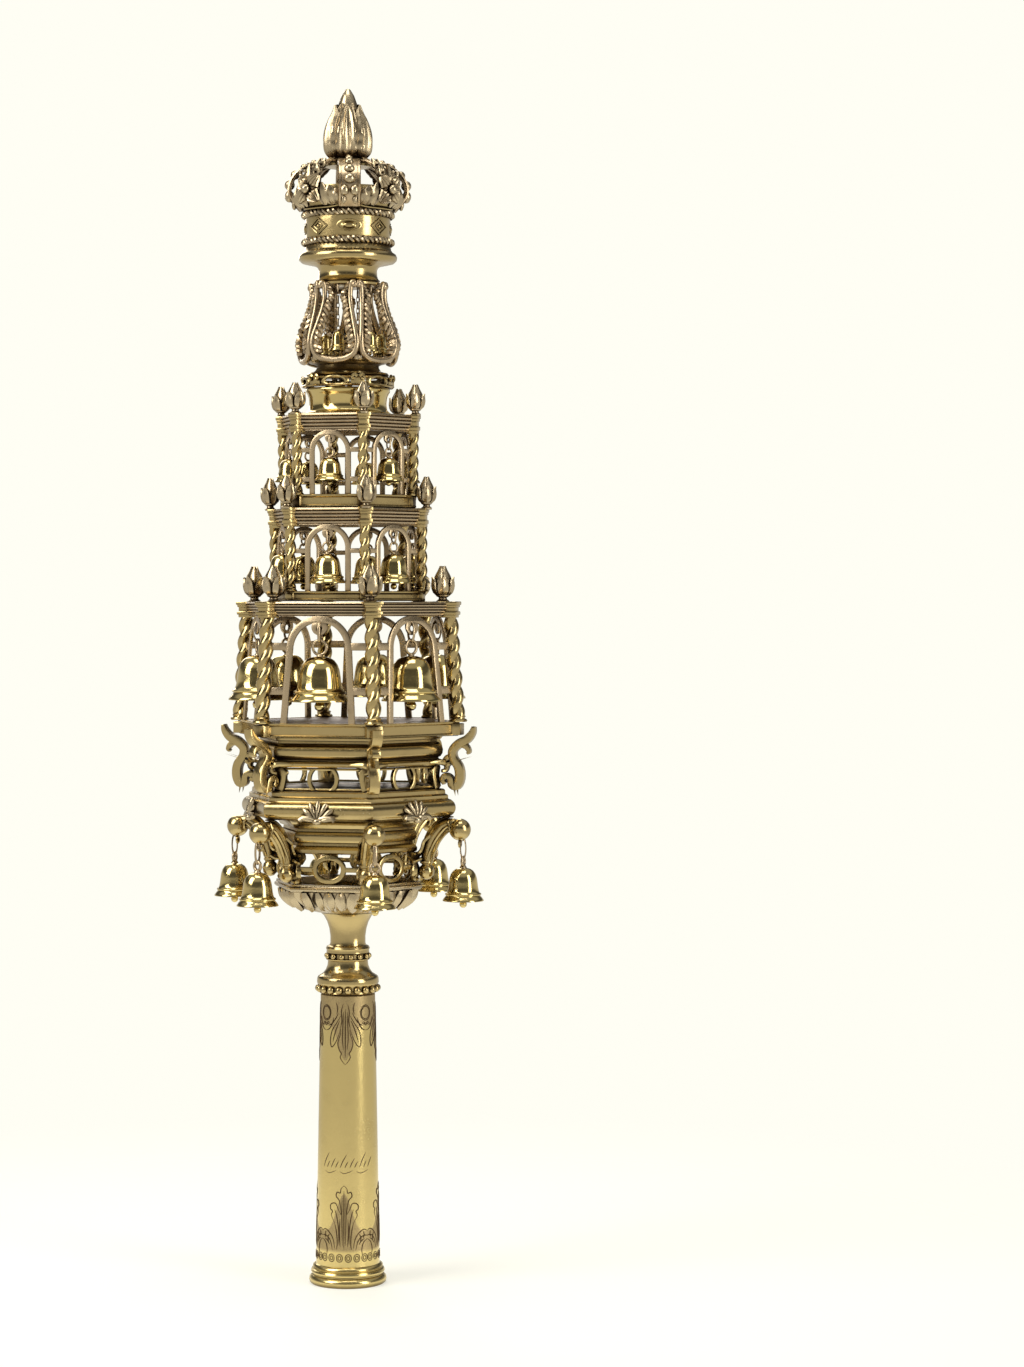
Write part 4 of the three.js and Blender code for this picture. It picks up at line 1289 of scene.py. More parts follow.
# ---- Storeys ----
STOREYS = {
    "main_tier": {
        "foot": 43.6,
        "head": 40.6,
        "column": 2.95,
        "block": 6.9,
        "bud": (7.6, 13.4, 37.6),
        "arch": (25.4, 1.8, 2.5),
        "struts": ((34.0, 2.8), (17.4, 2.8)),
        "floor_edge": 5.5,
        "cornice": 5.3,
        "tab": 3.1,
    },
    "middle_tier": {
        "foot": 29.3,
        "head": 29.3,
        "column": 2.2,
        "block": 5.0,
        "bud": (6.4, 12.0, 31.2),
        "arch": (17.8, 0, 2.0),
        "struts": ((18.9, 1.8),),
        "floor_edge": 3.8,
        "cornice": 6.3,
        "tab": 2.2,
    },
    "top_tier": {
        "foot": 25.8,
        "head": 26.1,
        "column": 2.1,
        "block": 4.8,
        "bud": (6.4, 11.4, 26.8),
        "arch": (16.1, 0, 1.9),
        "struts": ((10.5, 1.8), (21.5, 1.8)),
        "floor_edge": 4.9,
        "cornice": 6.4,
        "tab": 2.0,
    },
}


class FINIAL_OT_storeys(bpy.types.Operator):
    """Makes the three storeys: floors, twisted columns, arches, cornices and leafy buds"""

    bl_idname = "finial.storeys"
    bl_label = "Storeys"

    def execute(self, context):
        shape = context.scene.finial_shape
        for node, sizes in STOREYS.items():
            room = Room(node)
            room.top = room.high - sizes["bud"][1]
            room.floor = room.up(sizes["floor_edge"])
            room.cornice = room.top - sizes["cornice"]
            twist = shape.main_twist if node == "main_tier" else shape.upper_twist
            piece = bmesh.new()
            self.floor(piece, room, sizes)
            self.cornice(piece, room, sizes)
            self.columns(piece, room, sizes, twist)
            self.arches(piece, room, sizes)
            self.buds(piece, room, sizes)
            materials = [gilt(), pale_gilt(), cast_gilt(), painted_shade_plate()]
            finish_piece(node.replace("tier", "storey"), piece, [node], materials, crisp=34)
        return {"FINISHED"}

    def floor(self, piece, room, sizes):
        edge = sizes["floor_edge"]
        wide = sizes["foot"] + (0.6 if edge > 5 else 1.6)
        profile = [
            (wide - 3.0, room.low),
            (wide - 0.7, room.low),
            (wide - 0.2, room.up(0.3)),
            (wide - 0.3, room.up(0.8)),
            (wide - 0.9, room.up(1.1)),
            (wide - 0.9, room.up(edge - 1.3)),
            (wide - 0.4, room.up(edge - 1.1)),
            (wide, room.up(edge - 0.7)),
            (wide, room.up(edge - 0.2)),
            (wide - 0.3, room.floor),
            (wide - 3.0, room.floor),
        ]
        put(piece, hexagonal(profile), finish=0)
        # The deck inside the storey is dark brown painted shade.
        deck = [(0, room.floor - 0.2), (wide - 2.9, room.floor - 0.2), (wide - 2.9, room.floor - 1.4), (0, room.floor - 1.4)]
        put(piece, hexagonal(deck), finish=3)

    def cornice(self, piece, room, sizes):
        """Fine reeds that step out to the top."""
        tall = room.top - room.cornice
        wide = sizes["head"] + 1.7
        reeds = 4
        profile = [(wide - 4.6, room.cornice), (wide - 1.9, room.cornice)]
        for i in range(reeds):
            out = wide - 1.5 + 0.4 * i
            low = room.cornice + tall * (0.04 + 0.2 * i)
            size = tall * 0.2
            profile += [(out - 0.5, low), (out, low + size * 0.25), (out, low + size * 0.7), (out - 0.5, low + size * 0.95)]
        profile += [(wide - 0.3, room.top - tall * 0.14), (wide, room.top - tall * 0.1), (wide - 0.3, room.top), (wide - 4.6, room.top)]
        put(piece, hexagonal(profile), finish=1)
        # The deck under the roof is dark brown painted shade.
        deck = [(0, room.top - 0.1), (wide - 4.5, room.top - 0.1), (wide - 4.5, room.top - 1.3), (0, room.top - 1.3)]
        put(piece, hexagonal(deck), finish=3)

    def columns(self, piece, room, sizes, twist):
        """Two strands wound together, with a ringed foot and a stepped block for a capital."""
        low, high = room.floor - 0.2, room.cornice + 0.2
        radius = sizes["column"]
        shaft = bmesh.new()
        made = bmesh.ops.create_circle(shaft, segments=20, radius=radius)
        for vert in made["verts"]:
            turn = math.atan2(vert.co.y, vert.co.x)
            vert.co *= 0.3 * abs(math.cos(turn)) + math.sqrt(0.49 - 0.09 * math.sin(turn) ** 2)
        steps = 72
        bmesh.ops.spin(
            shaft,
            geom=shaft.verts[:] + shaft.edges[:],
            axis=(0, 0, 1),
            angle=twist,
            steps=steps,
            dvec=(0, 0, (high - low) / steps),
        )
        bmesh.ops.holes_fill(shaft, edges=[edge for edge in shaft.edges if edge.is_boundary])
        cleaned(shaft)
        lean = (sizes["head"] - sizes["foot"]) / (high - low)
        for vert in shaft.verts:
            vert.co.y += -sizes["foot"] - lean * vert.co.z
            vert.co.z += low
        put(piece, shaft, around(CORNERS), finish=0)
        foot = [(0, 0), (1.12, 0), (1.2, 0.3), (1.1, 0.62), (0.86, 0.8), (0.9, 1.05), (1.0, 1.25), (0.86, 1.5), (0, 1.5)]
        foot = [(r * radius, low + z * radius * 0.55) for r, z in foot]
        put(piece, turned(foot, 20), around(CORNERS, shifted(y=-sizes["foot"])), finish=0)
        tall = room.top - room.cornice
        side = sizes["block"]
        head = -sizes["head"]
        for width, bottom, height in (
            (0.86, -0.12, 0.3),
            (1.0, 0.08, 0.26),
            (0.84, 0.25, 0.5),
            (0.96, 0.62, 0.22),
            (1.08, 0.78, 0.26),
        ):
            bar = block(side * width, side * width, tall * height, 0.3)
            place = shifted(y=head + 0.4, z=room.cornice + tall * (bottom + height / 2))
            put(piece, bar, around(CORNERS, place), finish=0)
        step = block(side * 0.88, side * 0.88, sizes["floor_edge"] * 0.8, 0.3)
        place = shifted(y=1.4 - sizes["foot"], z=room.up(sizes["floor_edge"] * 0.46))
        put(piece, step, around(CORNERS, place), finish=0)

    def arches(self, piece, room, sizes):
        """A strap arch in each face, with struts to the columns and a pierced tab at the crown."""
        width, splay, strap = sizes["arch"]
        low, high = room.floor - 0.2, room.cornice + 0.2
        lean = math.degrees(math.atan2(across(sizes["foot"] - sizes["head"]), high - low))
        place = shifted(y=-across(sizes["head"]) + 0.3, z=high) @ tipped(-lean)
        half, inner = width / 2, width / 2 - strap
        drop = low - high
        outline = [(-half - splay, drop)]
        outline += arc(0, -half, half, 180, 0, 28)
        outline += [(half + splay, drop), (inner + splay, drop)]
        outline += arc(0, -half, inner, 0, 180, 28)
        outline += [(-inner - splay, drop)]
        put(piece, plate([outline], 1.3, 0.22), around(FACES, place), finish=1)
        for height, tall in sizes["struts"]:
            level = height - (high - room.low) - tall / 2
            share = level / drop
            reach = (sizes["head"] + (sizes["foot"] - sizes["head"]) * share) / 2 - 0.8
            near = inner + splay * share * 0.9 + 0.4
            if level > -half:
                near = math.sqrt(max(half * half - (level + half) ** 2, 0)) - 0.6
            for side in (-1, 1):
                strut = [(side * near, level), (side * reach, level), (side * reach, level + tall), (side * near, level + tall)]
                put(piece, plate([strut], 1.1, 0.2), around(FACES, place), finish=1)
        tab = sizes["tab"]
        disc = [oval(0, -strap - tab * 0.55, tab * 2, tab * 2, 24), oval(0, -strap - tab * 0.75, tab * 0.7, tab * 0.7, 14)]
        put(piece, plate(disc, 1.0, 0.18), around(FACES, place), finish=1)

    def buds(self, piece, room, sizes):
        """A bud of pointed leaves on a short ringed stalk over each column."""
        width, tall, distance = sizes["bud"]
        half = width / 2
        core = [
            (0, -0.3),
            (half * 0.62, -0.3),
            (half * 0.66, tall * 0.03),
            (half * 0.44, tall * 0.08),
            (half * 0.4, tall * 0.12),
            (half * 0.66, tall * 0.16),
            (half * 0.7, tall * 0.2),
            (half * 0.5, tall * 0.24),
            (half * 0.78, tall * 0.38),
            (half * 0.84, tall * 0.55),
            (half * 0.66, tall * 0.76),
            (half * 0.3, tall * 0.92),
            (0, tall * 0.97),
        ]
        places = around(CORNERS, shifted(y=-distance, z=room.top))
        put(piece, turned(core, 14), places, finish=2)
        outer = [(0.45, 0.2), (0.86, 0.3), (1.02, 0.46), (0.98, 0.6), (1.04, 0.71)]
        inner = [(0.6, 0.38), (0.9, 0.56), (0.8, 0.72), (0.5, 0.88), (0.32, 1.02)]
        for line, widths, first in ((outer, (0.5, 1.0, 1.05, 0.75, 0.15), 0), (inner, (0.7, 1.0, 0.9, 0.6, 0.12), 36)):
            shape = leaf(
                [(half * r, tall * z) for r, z in line], [half * w for w in widths], 0.35, 1, 0, 0.2, half * 0.14, 4, 8
            )
            turns = [turned_to(first + i * 72) for i in range(5)]
            put(piece, shape, [place @ turn for place in places for turn in turns], finish=2)


def painted_shade_plate():
    """The brown insides of the floors and of the crown: painted shade."""
    look = bpy.context.scene.finial_finish
    return metal("Painted Shade Plate", look.painted_shade_plate, look.tarnish_and_shade, look.recess, 0.6, 0.42)


# ---- Bells ----
class FINIAL_OT_bells(bpy.types.Operator):
    """Makes the hollow bells with their clappers, loops and links"""

    bl_idname = "finial.bells"
    bl_label = "Bells"

    def execute(self, context):
        wire = context.scene.finial_shape.wire / MM / 2
        for kind, first, fine, thin, lip_share in (
            ("outer_bell", CORNERS[0], 40, 1.15, 12.6),
            ("main_bell", FACES[0], 48, 1.0, 17.0),
            ("middle_bell", FACES[0], 40, 0.75, 11.2),
            ("top_bell", FACES[0], 40, 0.7, 8.8),
            ("lyre_bell", FACES[0], 28, 0.5, 7.6),
        ):
            self.kind(kind, first, fine, wire * thin, lip_share)
        return {"FINISHED"}

    def kind(self, kind, first, fine, wire, height):
        """All six bells of one kind, hung where their solids are."""
        room = Room(f"{kind}_1")
        low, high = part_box(f"{kind}_1")
        middle = (low + high) / 2 / MM
        distance = math.hypot(middle[0], middle[1])
        lip = room.high - {"outer_bell": 22.9, "main_bell": 29.2}.get(kind, room.high - room.low)
        radius = {"outer_bell": 7.8, "main_bell": 11.1, "middle_bell": 6.9, "top_bell": 5.8, "lyre_bell": 3.2}[kind]
        outer = [
            (0.0, 1.0),
            (0.16, 0.995),
            (0.34, 0.965),
            (0.49, 0.905),
            (0.6, 0.81),
            (0.665, 0.69),
            (0.7, 0.55),
            (0.725, 0.42),
            (0.76, 0.31),
            (0.8, 0.25),
            (0.86, 0.235),
            (0.885, 0.212),
            (0.875, 0.188),
            (0.84, 0.172),
            (0.85, 0.15),
            (0.9, 0.115),
            (0.965, 0.06),
            (1.0, 0.03),
            (1.0, 0.004),
        ]
        inner = [(0.95, 0.0), (0.88, 0.05), (0.78, 0.12), (0.71, 0.25), (0.66, 0.45), (0.6, 0.65), (0.46, 0.83), (0.24, 0.91), (0, 0.92)]
        piece = bmesh.new()
        wall = [(radius * r, lip + height * z) for r, z in outer + inner]
        directions = [first + 60 * i for i in range(6)]
        place = shifted(y=-distance)
        put(piece, turned(wall, fine), around(directions, place))
        self.clapper(piece, radius, lip, height, around(directions, place))
        self.links(piece, kind, room, radius, lip + height, wire, around(directions, place))
        finish_piece(kind + "s", piece, six(kind), [bright_gilt(), pale_gilt()], crisp=50)

    def clapper(self, piece, radius, lip, height, places):
        tongue = [
            (0, height * 0.86),
            (radius * 0.06, height * 0.86),
            (radius * 0.06, height * 0.02),
            (radius * 0.15, -height * 0.03),
            (radius * 0.19, -height * 0.09),
            (radius * 0.16, -height * 0.16),
            (radius * 0.08, -height * 0.2),
            (0, -height * 0.21),
        ]
        put(piece, turned([(r, lip + z) for r, z in tongue], 12), places)

    def links(self, piece, kind, room, radius, crown, wire, places):
        """A loop on the bell, and links that take up the rest of the way to where it hangs."""
        size = {"main_bell": 2.7, "outer_bell": 1.7, "middle_bell": 1.9, "top_bell": 1.6, "lyre_bell": 0.8}[kind]
        knob = [(0, -0.3), (wire * 2.4, -0.3), (wire * 2.0, 0.3), (wire * 1.3, wire * 1.6), (0, wire * 1.8)]
        put(piece, turned([(r, crown + z) for r, z in knob], 14), places, finish=1)
        centre = crown + size + wire * 0.9
        put(piece, loop(size, wire, 24, 8), [place @ shifted(z=centre) for place in places], finish=1)
        rest = room.high - centre - size
        if rest <= 0.6:
            return
        count = max(1, round(rest / (size * 2.6)))
        tall = rest / count
        for i in range(count):
            long_link = loop(1, wire / (tall / 2), 20, 8)
            bmesh.ops.scale(long_link, vec=(size * 0.62, tall / 2, tall / 2 + wire), verts=long_link.verts)
            at = shifted(z=centre + size + tall * (i + 0.5)) @ turned_to(90 if i % 2 == 0 else 0)
            put(piece, long_link, [place @ at for place in places], finish=1)


# ---- Drum, pierced ring and lyre stage ----
class FINIAL_OT_drum(bpy.types.Operator):
    """Makes the plain waisted drum"""

    bl_idname = "finial.drum"
    bl_label = "Drum"

    def execute(self, context):
        room = Room("drum")
        piece = bmesh.new()
        profile = [
            (13.5, room.low),
            (16.3, room.low),
            (16.4, room.up(0.7)),
            (15.6, room.up(1.2)),
            (15.0, room.up(1.9)),
            (14.7, room.up(4.0)),
            (14.9, room.up(6.4)),
            (15.5, room.up(8.0)),
            (16.0, room.up(8.7)),
            (16.1, room.down(0.7)),
            (15.8, room.high),
            (13.6, room.high),
        ]
        put(piece, turned(profile, 72))
        finish_piece("plain_drum", piece, ["drum"], [bright_gilt()])
        return {"FINISHED"}


class FINIAL_OT_pierced_ring(bpy.types.Operator):
    """Makes the ring with six oval openings"""

    bl_idname = "finial.pierced_ring"
    bl_label = "Pierced Ring"

    def execute(self, context):
        room = Room("pierced_ring")
        piece = bmesh.new()
        middle = (room.low + room.high) / 2
        for bottom, out in ((room.low, 17.4), (room.high - 0.8, 17.2)):
            band = [(14.4, bottom), (out, bottom), (out + 0.35, bottom + 0.4), (out, bottom + 0.8), (14.4, bottom + 0.8)]
            put(piece, turned(band, 72))
        ring = loop(1, 0.24, 32, 8)
        bmesh.ops.scale(ring, vec=(4.6, 2.6, 1.75), verts=ring.verts)
        for vert in ring.verts:
            vert.co.y += 17.0 - math.sqrt(17.0**2 - vert.co.x**2)
        put(piece, ring, around(FACES, shifted(y=-17.0, z=middle)))
        pillar = bmesh.new()
        section = [(14.8, middle - 1.3), (17.2, middle - 1.3), (17.2, middle + 1.3), (14.8, middle + 1.3)]
        verts = [pillar.verts.new((0, -r, z)) for r, z in section]
        pillar.faces.new(verts)
        bmesh.ops.rotate(pillar, verts=verts, matrix=turned_to(-9))
        bmesh.ops.spin(pillar, geom=pillar.faces[:], axis=(0, 0, 1), angle=math.radians(18), steps=6)
        put(piece, cleaned(pillar), around(CORNERS))
        for side in (-1, 1):
            curl = [(side * 0.4, 1.6), (side * 1.5, 2.3), (side * 2.4, 1.4), (side * 1.8, 0.5), (side * 1.2, 1.1)]
            path = [Vector((x, -17.6, middle + z)) for x, z in curl]
            path = smooth(path, 4)
            put(piece, tube(path, swelling(path, [0.7, 0.6, 0.35]), fine=1), around(CORNERS))
        finish_piece("oval_ring", piece, ["pierced_ring"], [gilt()])
        return {"FINISHED"}


class FINIAL_OT_lyre_stage(bpy.types.Operator):
    """Makes the moulded foot and the six lyre openings of roped straps"""

    bl_idname = "finial.lyre_stage"
    bl_label = "Lyre Stage"

    def execute(self, context):
        room = Room("lyre_stage")
        piece = bmesh.new()
        foot = [
            (0, room.low),
            (14.9, room.low),
            (15.5, room.up(0.4)),
            (15.7, room.up(0.9)),
            (15.2, room.up(1.5)),
            (13.6, room.up(1.8)),
            (12.6, room.up(2.3)),
            (11.9, room.up(3.4)),
            (11.8, room.up(4.3)),
            (12.6, room.up(4.8)),
            (14.4, room.up(5.2)),
            (15.6, room.up(5.9)),
            (15.8, room.up(6.6)),
            (15.2, room.up(7.1)),
            (13.0, room.up(7.2)),
            (0, room.up(7.2)),
        ]
        put(piece, turned(foot, 72), finish=0)
        cap = [(0, room.down(1.5)), (12.4, room.down(1.5)), (13.2, room.down(1.1)), (13.3, room.down(0.4)), (12.6, room.high), (0, room.high)]
        put(piece, turned(cap, 72), finish=0)
        self.lyres(piece, room)
        finish_piece("lyre_openings", piece, ["lyre_stage"], [gilt(), pale_gilt(), cast_gilt()])
        return {"FINISHED"}

    def lyres(self, piece, room):
        """Each opening has a roped edge inside a smooth rim, which ends in a volute under the cap."""
        top = room.high
        rope_line = [(4.6, -1.0, 13.6), (3.2, -3.8, 13.4), (2.2, -6.0, 13.6), (3.4, -8.8, 14.2), (4.1, -12.4, 15.2)]
        rope_line += [(5.2, -17.0, 17.0), (6.5, -21.4, 18.5), (6.9, -24.6, 18.8), (5.9, -27.4, 18.0)]
        rim_line = [(7.0, -2.3, 14.7), (6.9, -0.9, 14.8), (5.9, -0.9, 14.4), (5.3, -3.0, 14.0), (5.2, -7.0, 14.2)]
        rim_line += [(6.0, -11.4, 15.2), (7.4, -16.6, 17.0), (8.8, -21.4, 18.7), (9.0, -24.8, 19.0), (7.6, -28.0, 18.4)]
        rim_line += [(4.4, -29.8, 17.4), (0.0, -30.4, 16.9)]

        def bent(line, hand):
            stations = []
            for aside, drop, distance in line:
                turn = hand * aside / distance
                stations.append(Vector((distance * math.sin(turn), -distance * math.cos(turn), top + drop)))
            return smooth(stations, 7)

        for hand in (-1, 1):
            rim = bent(rim_line, hand)
            radii = swelling(rim, [0.7, 0.9, 1.0, 1.0, 0.95, 1.0, 1.1, 1.15, 1.2, 1.2, 1.25, 1.3])
            put(piece, tube(rim, radii, fine=3), around(FACES), finish=1)
            inner = bent(rope_line, hand)
            put(piece, rope(inner, 1.45, 8.5 * hand, strands=2, narrow=0.55), around(FACES), finish=1)
            at = rim[6]
            put(piece, ball(1.25, 1, 0.9, 1, 12), around(FACES, shifted(at.x, at.y, at.z - 0.7)), finish=1)
        bridge = [(15.6, top - 31.0), (17.4, top - 30.2), (17.9, top - 28.4), (17.4, top - 26.8)]
        put(piece, leaf(bridge, [2.0, 3.0, 2.2, 0.6], 0.3, 1, 2, 0.3, 0.6, 4, 8), around(CORNERS), finish=2)


# ---- Crown and flame ----
class FINIAL_OT_crown(bpy.types.Operator):
    """Makes the spool, rim, roped band, beaded arches, rosettes and leafwork of the crown"""

    bl_idname = "finial.crown"
    bl_label = "Crown"

    turn = 19

    def execute(self, context):
        room = Room("crown")
        piece = bmesh.new()
        self.base = room.low
        self.beaded = [self.turn + 90 * i for i in range(4)]
        self.leafy = [at + 45 for at in self.beaded]
        self.cup(piece)
        self.band(piece)
        self.arches(piece)
        self.rosettes(piece)
        materials = [gilt(), cast_gilt(), pale_gilt(), painted_shade_plate()]
        finish_piece("crown_work", piece, ["crown"], materials, crisp=45)
        return {"FINISHED"}

    def z(self, height):
        """A height above the underside of the crown."""
        return self.base + height

    def cup(self, piece):
        profile = [
            (0, 0),
            (12.0, 0),
            (12.3, 0.5),
            (11.7, 1.0),
            (11.2, 2.2),
            (11.1, 4.2),
            (11.5, 5.4),
            (12.6, 6.2),
            (15.4, 6.8),
            (17.6, 7.3),
            (18.6, 8.2),
            (18.8, 9.4),
            (18.3, 10.5),
            (17.2, 11.2),
            (16.6, 12.0),
            (16.3, 13.4),
            (15.9, 14.2),
            (16.0, 16.0),
            (16.3, 19.6),
            (16.2, 24.2),
            (16.2, 26.4),
            (17.0, 27.6),
            (18.8, 29.2),
            (20.2, 31.4),
            (20.6, 33.6),
            (20.0, 35.2),
            (19.2, 35.2),
            (19.4, 33.4),
            (18.6, 30.6),
            (15.2, 27.8),
            (14.8, 26),
            (14.8, 15),
            (0, 15),
        ]
        put(piece, turned([(r, self.z(z)) for r, z in profile], 96), finish=0)
        # Faces inside the cup above the band, and its floor, get the dark brown of painted shade.
        for face in piece.faces:
            middle = face.calc_center_median()
            inward = face.normal.x * middle.x + face.normal.y * middle.y < -0.1
            if middle.z > self.z(14.5) and (inward or face.normal.z > 0.9):
                face.material_index = 3

    def band(self, piece):
        """Two rope mouldings with ovals and lozenges between them."""
        for height in (15.0, 25.4):
            circle = [Vector((16.6 * math.sin(t), -16.6 * math.cos(t), self.z(height))) for t in self.turns(288)]
            put(piece, rope(circle, 1.2, 26, closed=True), finish=1)
        out = shifted(y=-16.2, z=self.z(20.2))
        for size in (1.0, 0.62):
            ring = loop(1, 0.12 / size, 32, 6)
            bmesh.ops.scale(ring, vec=(4.3 * size, 2.6, 2.1 * size), verts=ring.verts)
            self.bent(ring, 16.2)
            put(piece, ring, around(self.beaded, out), finish=0)
        boss = ball(1, 2.3, 0.7, 1.0, 14)
        self.bent(boss, 16.2)
        put(piece, boss, around(self.beaded, out), finish=0)
        for size, width in ((1.0, 0.28), (0.5, 0.24)):
            corner = [(4.2 * size, 0), (0, 3.0 * size), (-4.2 * size, 0), (0, -3.0 * size)]
            path = []
            for i, (x, z) in enumerate(corner):
                after_x, after_z = corner[(i + 1) % 4]
                for step in range(5):
                    share = step / 5
                    aside = x + (after_x - x) * share
                    path.append(Vector((aside, -math.sqrt(16.5**2 - aside**2), z + (after_z - z) * share)))
            lozenge = tube(path, width, closed=True, fine=1)
            put(piece, lozenge, around(self.leafy, shifted(z=self.z(20.2))), finish=0)
        pearl = ball(0.6, 1.4, 0.8, 1, 8)
        put(piece, pearl, around(self.leafy, shifted(y=-16.4, z=self.z(20.2))), finish=0)
        edge = []
        for t in self.turns(160):
            rise = 1.0 - abs(math.sin(2 * (t - math.radians(self.turn))))
            edge.append(Vector((17.4 * math.sin(t), -17.4 * math.cos(t), self.z(27.0 + 2.4 * rise**2))))
        put(piece, tube(edge, 0.42, closed=True, fine=1), finish=0)

    def turns(self, count):
        return [2 * math.pi * i / count for i in range(count)]

    def bent(self, shape, radius):
        """Bends a flat shape in the XZ plane round the band."""
        for vert in shape.verts:
            vert.co.y += radius - math.sqrt(radius**2 - vert.co.x**2)

    def arches(self, piece):
        """Four flanged arches with a row of graded beads, and four of leafy scrolls."""
        line = [(17.4, 27.4), (20.4, 30.6), (22.0, 34.0), (21.0, 38.6), (17.6, 42.4), (12.2, 45.0), (6.6, 45.8)]
        outline = ribbon([(r, self.z(z)) for r, z in line], [1.2] * len(line), 5)
        strap = plate([outline], 7.4, 0.3)
        put(piece, strap, [at @ Matrix.Rotation(math.radians(-90), 4, "Z") for at in around(self.beaded)], finish=2)
        for side in (-1, 1):
            rail = [Vector((side * 3.6, -r - 0.5, self.z(z))) for r, z in line]
            put(piece, tube(smooth(rail, 5), 0.62, fine=1), around(self.beaded), finish=2)
        beads = [(22.2, 36.9, 2.0), (20.1, 40.8, 1.8), (16.6, 43.7, 1.5), (13.0, 45.5, 1.25), (9.8, 46.4, 1.05)]
        for distance, height, radius in beads:
            put(piece, ball(radius, 1.15, 1, 1, 14), around(self.beaded, shifted(y=-distance, z=self.z(height))), finish=1)
        for side in (-1.9, 1.9):
            put(piece, ball(1.75, 1, 1, 1.2, 14), around(self.beaded, shifted(side, -22.3, self.z(32.6))), finish=1)
        for side in (-2.1, 2.1):
            base = ball(1.1, 0.9, 0.9, 1.8, 10)
            put(piece, base, around(self.beaded, shifted(side, -20.4, self.z(29.6))), finish=1)
        outline = ribbon([(r - 0.7, self.z(z)) for r, z in line[2:]], [1.1] * 5, 5)
        strap = plate([outline], 4.4, 0.3)
        put(piece, strap, [at @ Matrix.Rotation(math.radians(-90), 4, "Z") for at in around(self.leafy)], finish=2)
        for first, last, width in ((2, 5, 4.4), (3, 6, 4.0), (4, 7, 3.2)):
            stretch = [(r + 0.3, self.z(z)) for r, z in line[first - 1 : last]]
            stretch[-1] = (stretch[-1][0] + 1.6, stretch[-1][1] + 1.2)
            for side in (-1, 1):
                shape = leaf(stretch, [width * 0.5, width, width * 0.9, 0.8], 0.4, 1, 3, 0.35, 0.7, 6, 12)
                put(piece, shape, around([at + side * 5.5 for at in self.leafy]), finish=1)
        for radius, height, aside in ((20.6, 40.0, 3.0), (16.8, 43.2, 2.4)):
            for side in (-1, 1):
                curl = [(side * (aside + 1.5), 1.2), (side * (aside + 1.6), -0.6), (side * aside, -1.2), (side * (aside - 0.9), 0.1), (side * aside, 0.8)]
                path = smooth([Vector((x, -radius - 0.5 * abs(z), self.z(height + z))) for x, z in curl], 4)
                put(piece, tube(path, swelling(path, [0.75, 0.7, 0.6, 0.5, 0.55]), fine=2), around(self.leafy), finish=1)
        boss = [(0, 43.6), (8.6, 43.9), (9.0, 44.7), (8.4, 45.6), (8.6, 46.2), (7.6, 46.6), (0, 46.6)]
        put(piece, turned([(r, self.z(z)) for r, z in boss], 48), finish=0)

    def rosettes(self, piece):
        """Four broad leaves round a bead, with leafwork that fills the wall to each side."""
        middle = shifted(y=-21.2, z=self.z(33.6))
        petal = [(0.0, 0.8), (1.7, 2.6), (1.6, 5.0), (0.5, 7.2)]
        for i, turn in enumerate((45, 135, 225, 315)):
            shape = leaf(petal, [2.2, 5.0, 4.6, 0.8], 0.25, 2, 3, 0.3, 0.8, 8, 10)
            put(piece, shape, around(self.leafy, middle @ tipped(turn, "Y") @ stretched(1, 1, 0.92 if i % 2 else 1)), finish=1)
        for turn in (0, 90, 180, 270):
            shape = leaf([(0, 0.8), (1.1, 2.2), (0.8, 3.8), (0.1, 5.0)], [1.4, 2.8, 2.4, 0.6], 0.3, 1, 0, 0.2, 0.6, 4, 8)
            put(piece, shape, around(self.leafy, middle @ tipped(turn, "Y")), finish=1)
        put(piece, ball(1.75, 1, 1, 1, 18), around(self.leafy, shifted(y=-23.2, z=self.z(33.6))), finish=1)
        wall = [(18.2, 27.6), (20.6, 30.0), (21.8, 32.8), (21.3, 36.0)]
        for offset, size in ((15, 1.0), (24, 0.86), (31, 0.7)):
            for side in (-1, 1):
                stretch = [(r - 0.4 * (1 - size), self.z(27.6 + (z - 27.6) * size)) for r, z in wall]
                shape = leaf(stretch, [1.6, 4.4, 4.6, 1.0], 0.35, 2, 3, 0.3, 0.7, 6, 10)
                put(piece, shape, around([at + side * offset for at in self.leafy]), finish=1)


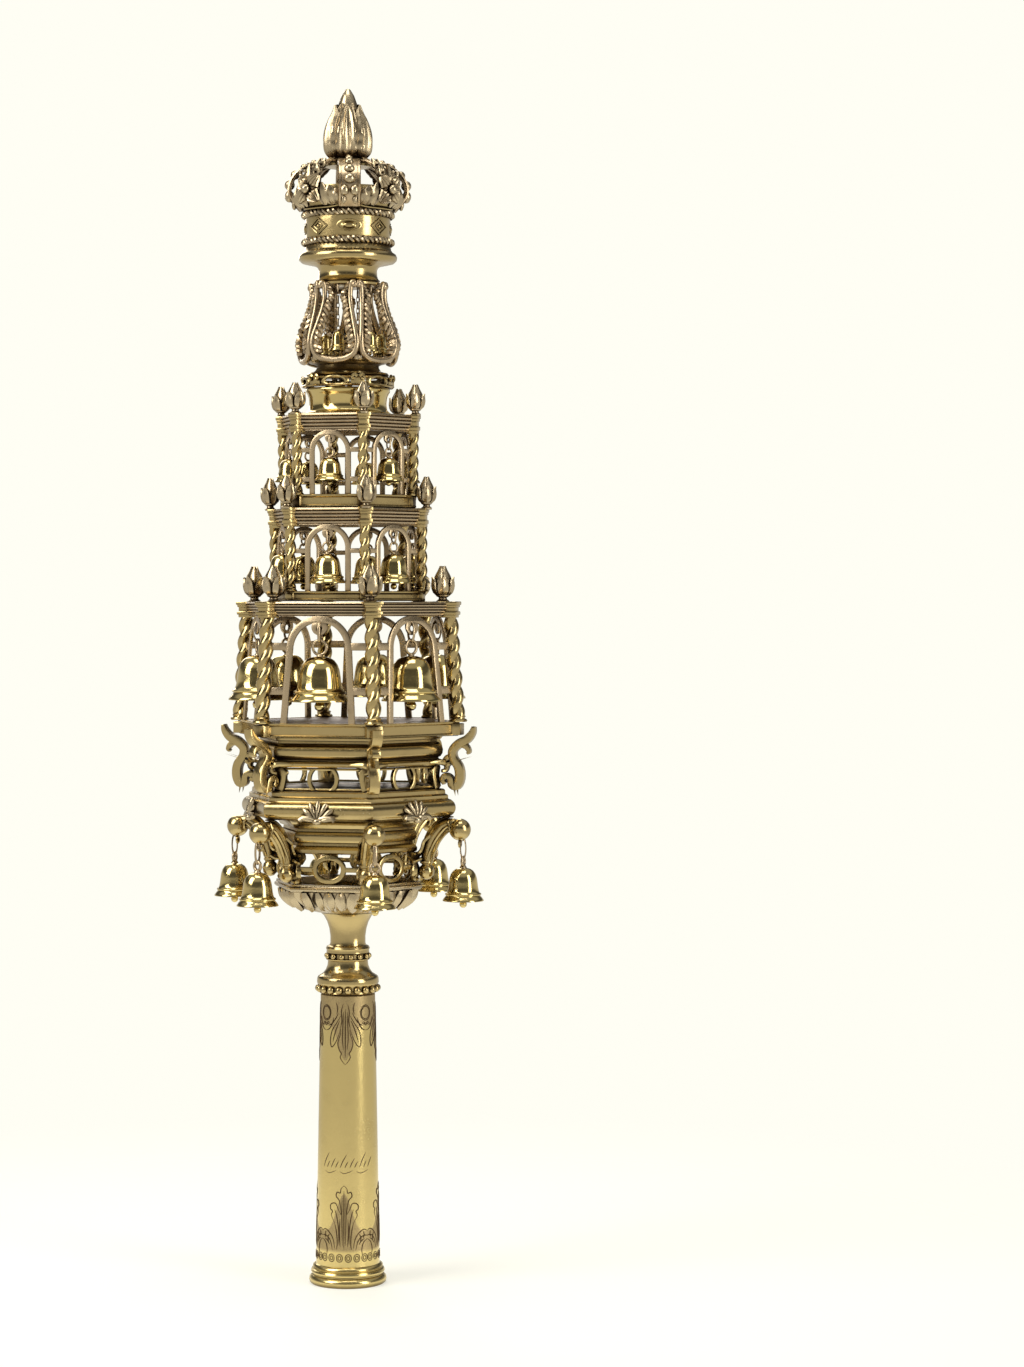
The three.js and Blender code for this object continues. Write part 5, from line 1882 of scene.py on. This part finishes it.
class FINIAL_OT_flame(bpy.types.Operator):
    """Makes the bud of veined acanthus leaves with its plain tip"""

    bl_idname = "finial.flame"
    bl_label = "Flame"

    def execute(self, context):
        room = Room("flame")
        piece = bmesh.new()
        core = [
            (0, 0),
            (5.6, 0),
            (6.8, 0.8),
            (7.6, 3.0),
            (7.2, 8.0),
            (6.0, 13.0),
            (4.4, 17.0),
            (4.0, 19.0),
            (3.6, 21.2),
            (2.5, 24.2),
            (1.0, 26.6),
            (0, 27.2),
        ]
        put(piece, turned([(r, room.up(z)) for r, z in core], 12))
        outer = [(6.8, 0.2), (8.5, 2.6), (9.1, 6.4), (8.8, 10.4), (7.7, 14.4), (6.2, 17.6), (5.7, 20.4)]
        inner = [(6.2, 1.0), (8.0, 5.0), (8.2, 10.0), (7.0, 14.6), (5.2, 18.0), (4.3, 21.0)]
        for line, widths, first in (
            (inner, [6, 8.6, 8.4, 7.0, 4.8, 0.9], 44),
            (outer, [6.6, 9.4, 9.8, 8.8, 7.4, 4.6, 0.9], 14),
        ):
            shape = leaf([(r, room.up(z)) for r, z in line], widths, 0.34, 1.5, 3, 0.16, 0.7, 18, 30)
            put(piece, shape, around([first + 60 * i for i in range(6)]))
        finish_piece("acanthus_flame", piece, ["flame"], [cast_gilt()], crisp=50)
        return {"FINISHED"}


# ---- Panel and main ----
OPERATORS = (
    FINIAL_OT_stage,
    FINIAL_OT_handle,
    FINIAL_OT_collar_neck,
    FINIAL_OT_bowl,
    FINIAL_OT_lower_gallery,
    FINIAL_OT_shell_ring,
    FINIAL_OT_upper_gallery,
    FINIAL_OT_base_moulding,
    FINIAL_OT_arms,
    FINIAL_OT_scroll_brackets,
    FINIAL_OT_storeys,
    FINIAL_OT_bells,
    FINIAL_OT_drum,
    FINIAL_OT_pierced_ring,
    FINIAL_OT_lyre_stage,
    FINIAL_OT_crown,
    FINIAL_OT_flame,
)


class FINIAL_PT_sidebar(bpy.types.Panel):
    """Lists the finial's settings and the operators that build its pieces"""

    bl_idname = "FINIAL_PT_sidebar"
    bl_label = "Torah Finial"
    bl_space_type = "VIEW_3D"
    bl_region_type = "UI"
    bl_category = "Finial"

    def draw(self, context):
        for settings in (context.scene.finial_shape, context.scene.finial_finish):
            for name in type(settings).__annotations__:
                self.layout.prop(settings, name)
        for operator in OPERATORS:
            self.layout.operator(operator.bl_idname)


CLASSES = (FinialShape, FinialFinish, *OPERATORS, FINIAL_PT_sidebar)


def register():
    for each in CLASSES:
        bpy.utils.register_class(each)
    bpy.types.Scene.finial_shape = bpy.props.PointerProperty(type=FinialShape)
    bpy.types.Scene.finial_finish = bpy.props.PointerProperty(type=FinialFinish)


def unregister():
    del bpy.types.Scene.finial_finish
    del bpy.types.Scene.finial_shape
    for each in reversed(CLASSES):
        bpy.utils.unregister_class(each)


def main():
    register()
    for operator in OPERATORS:
        group, name = operator.bl_idname.split(".")
        if getattr(getattr(bpy.ops, group), name)() != {"FINISHED"}:
            raise RuntimeError(f"{operator.bl_label} couldn't be made")


if __name__ == "__main__":
    main()
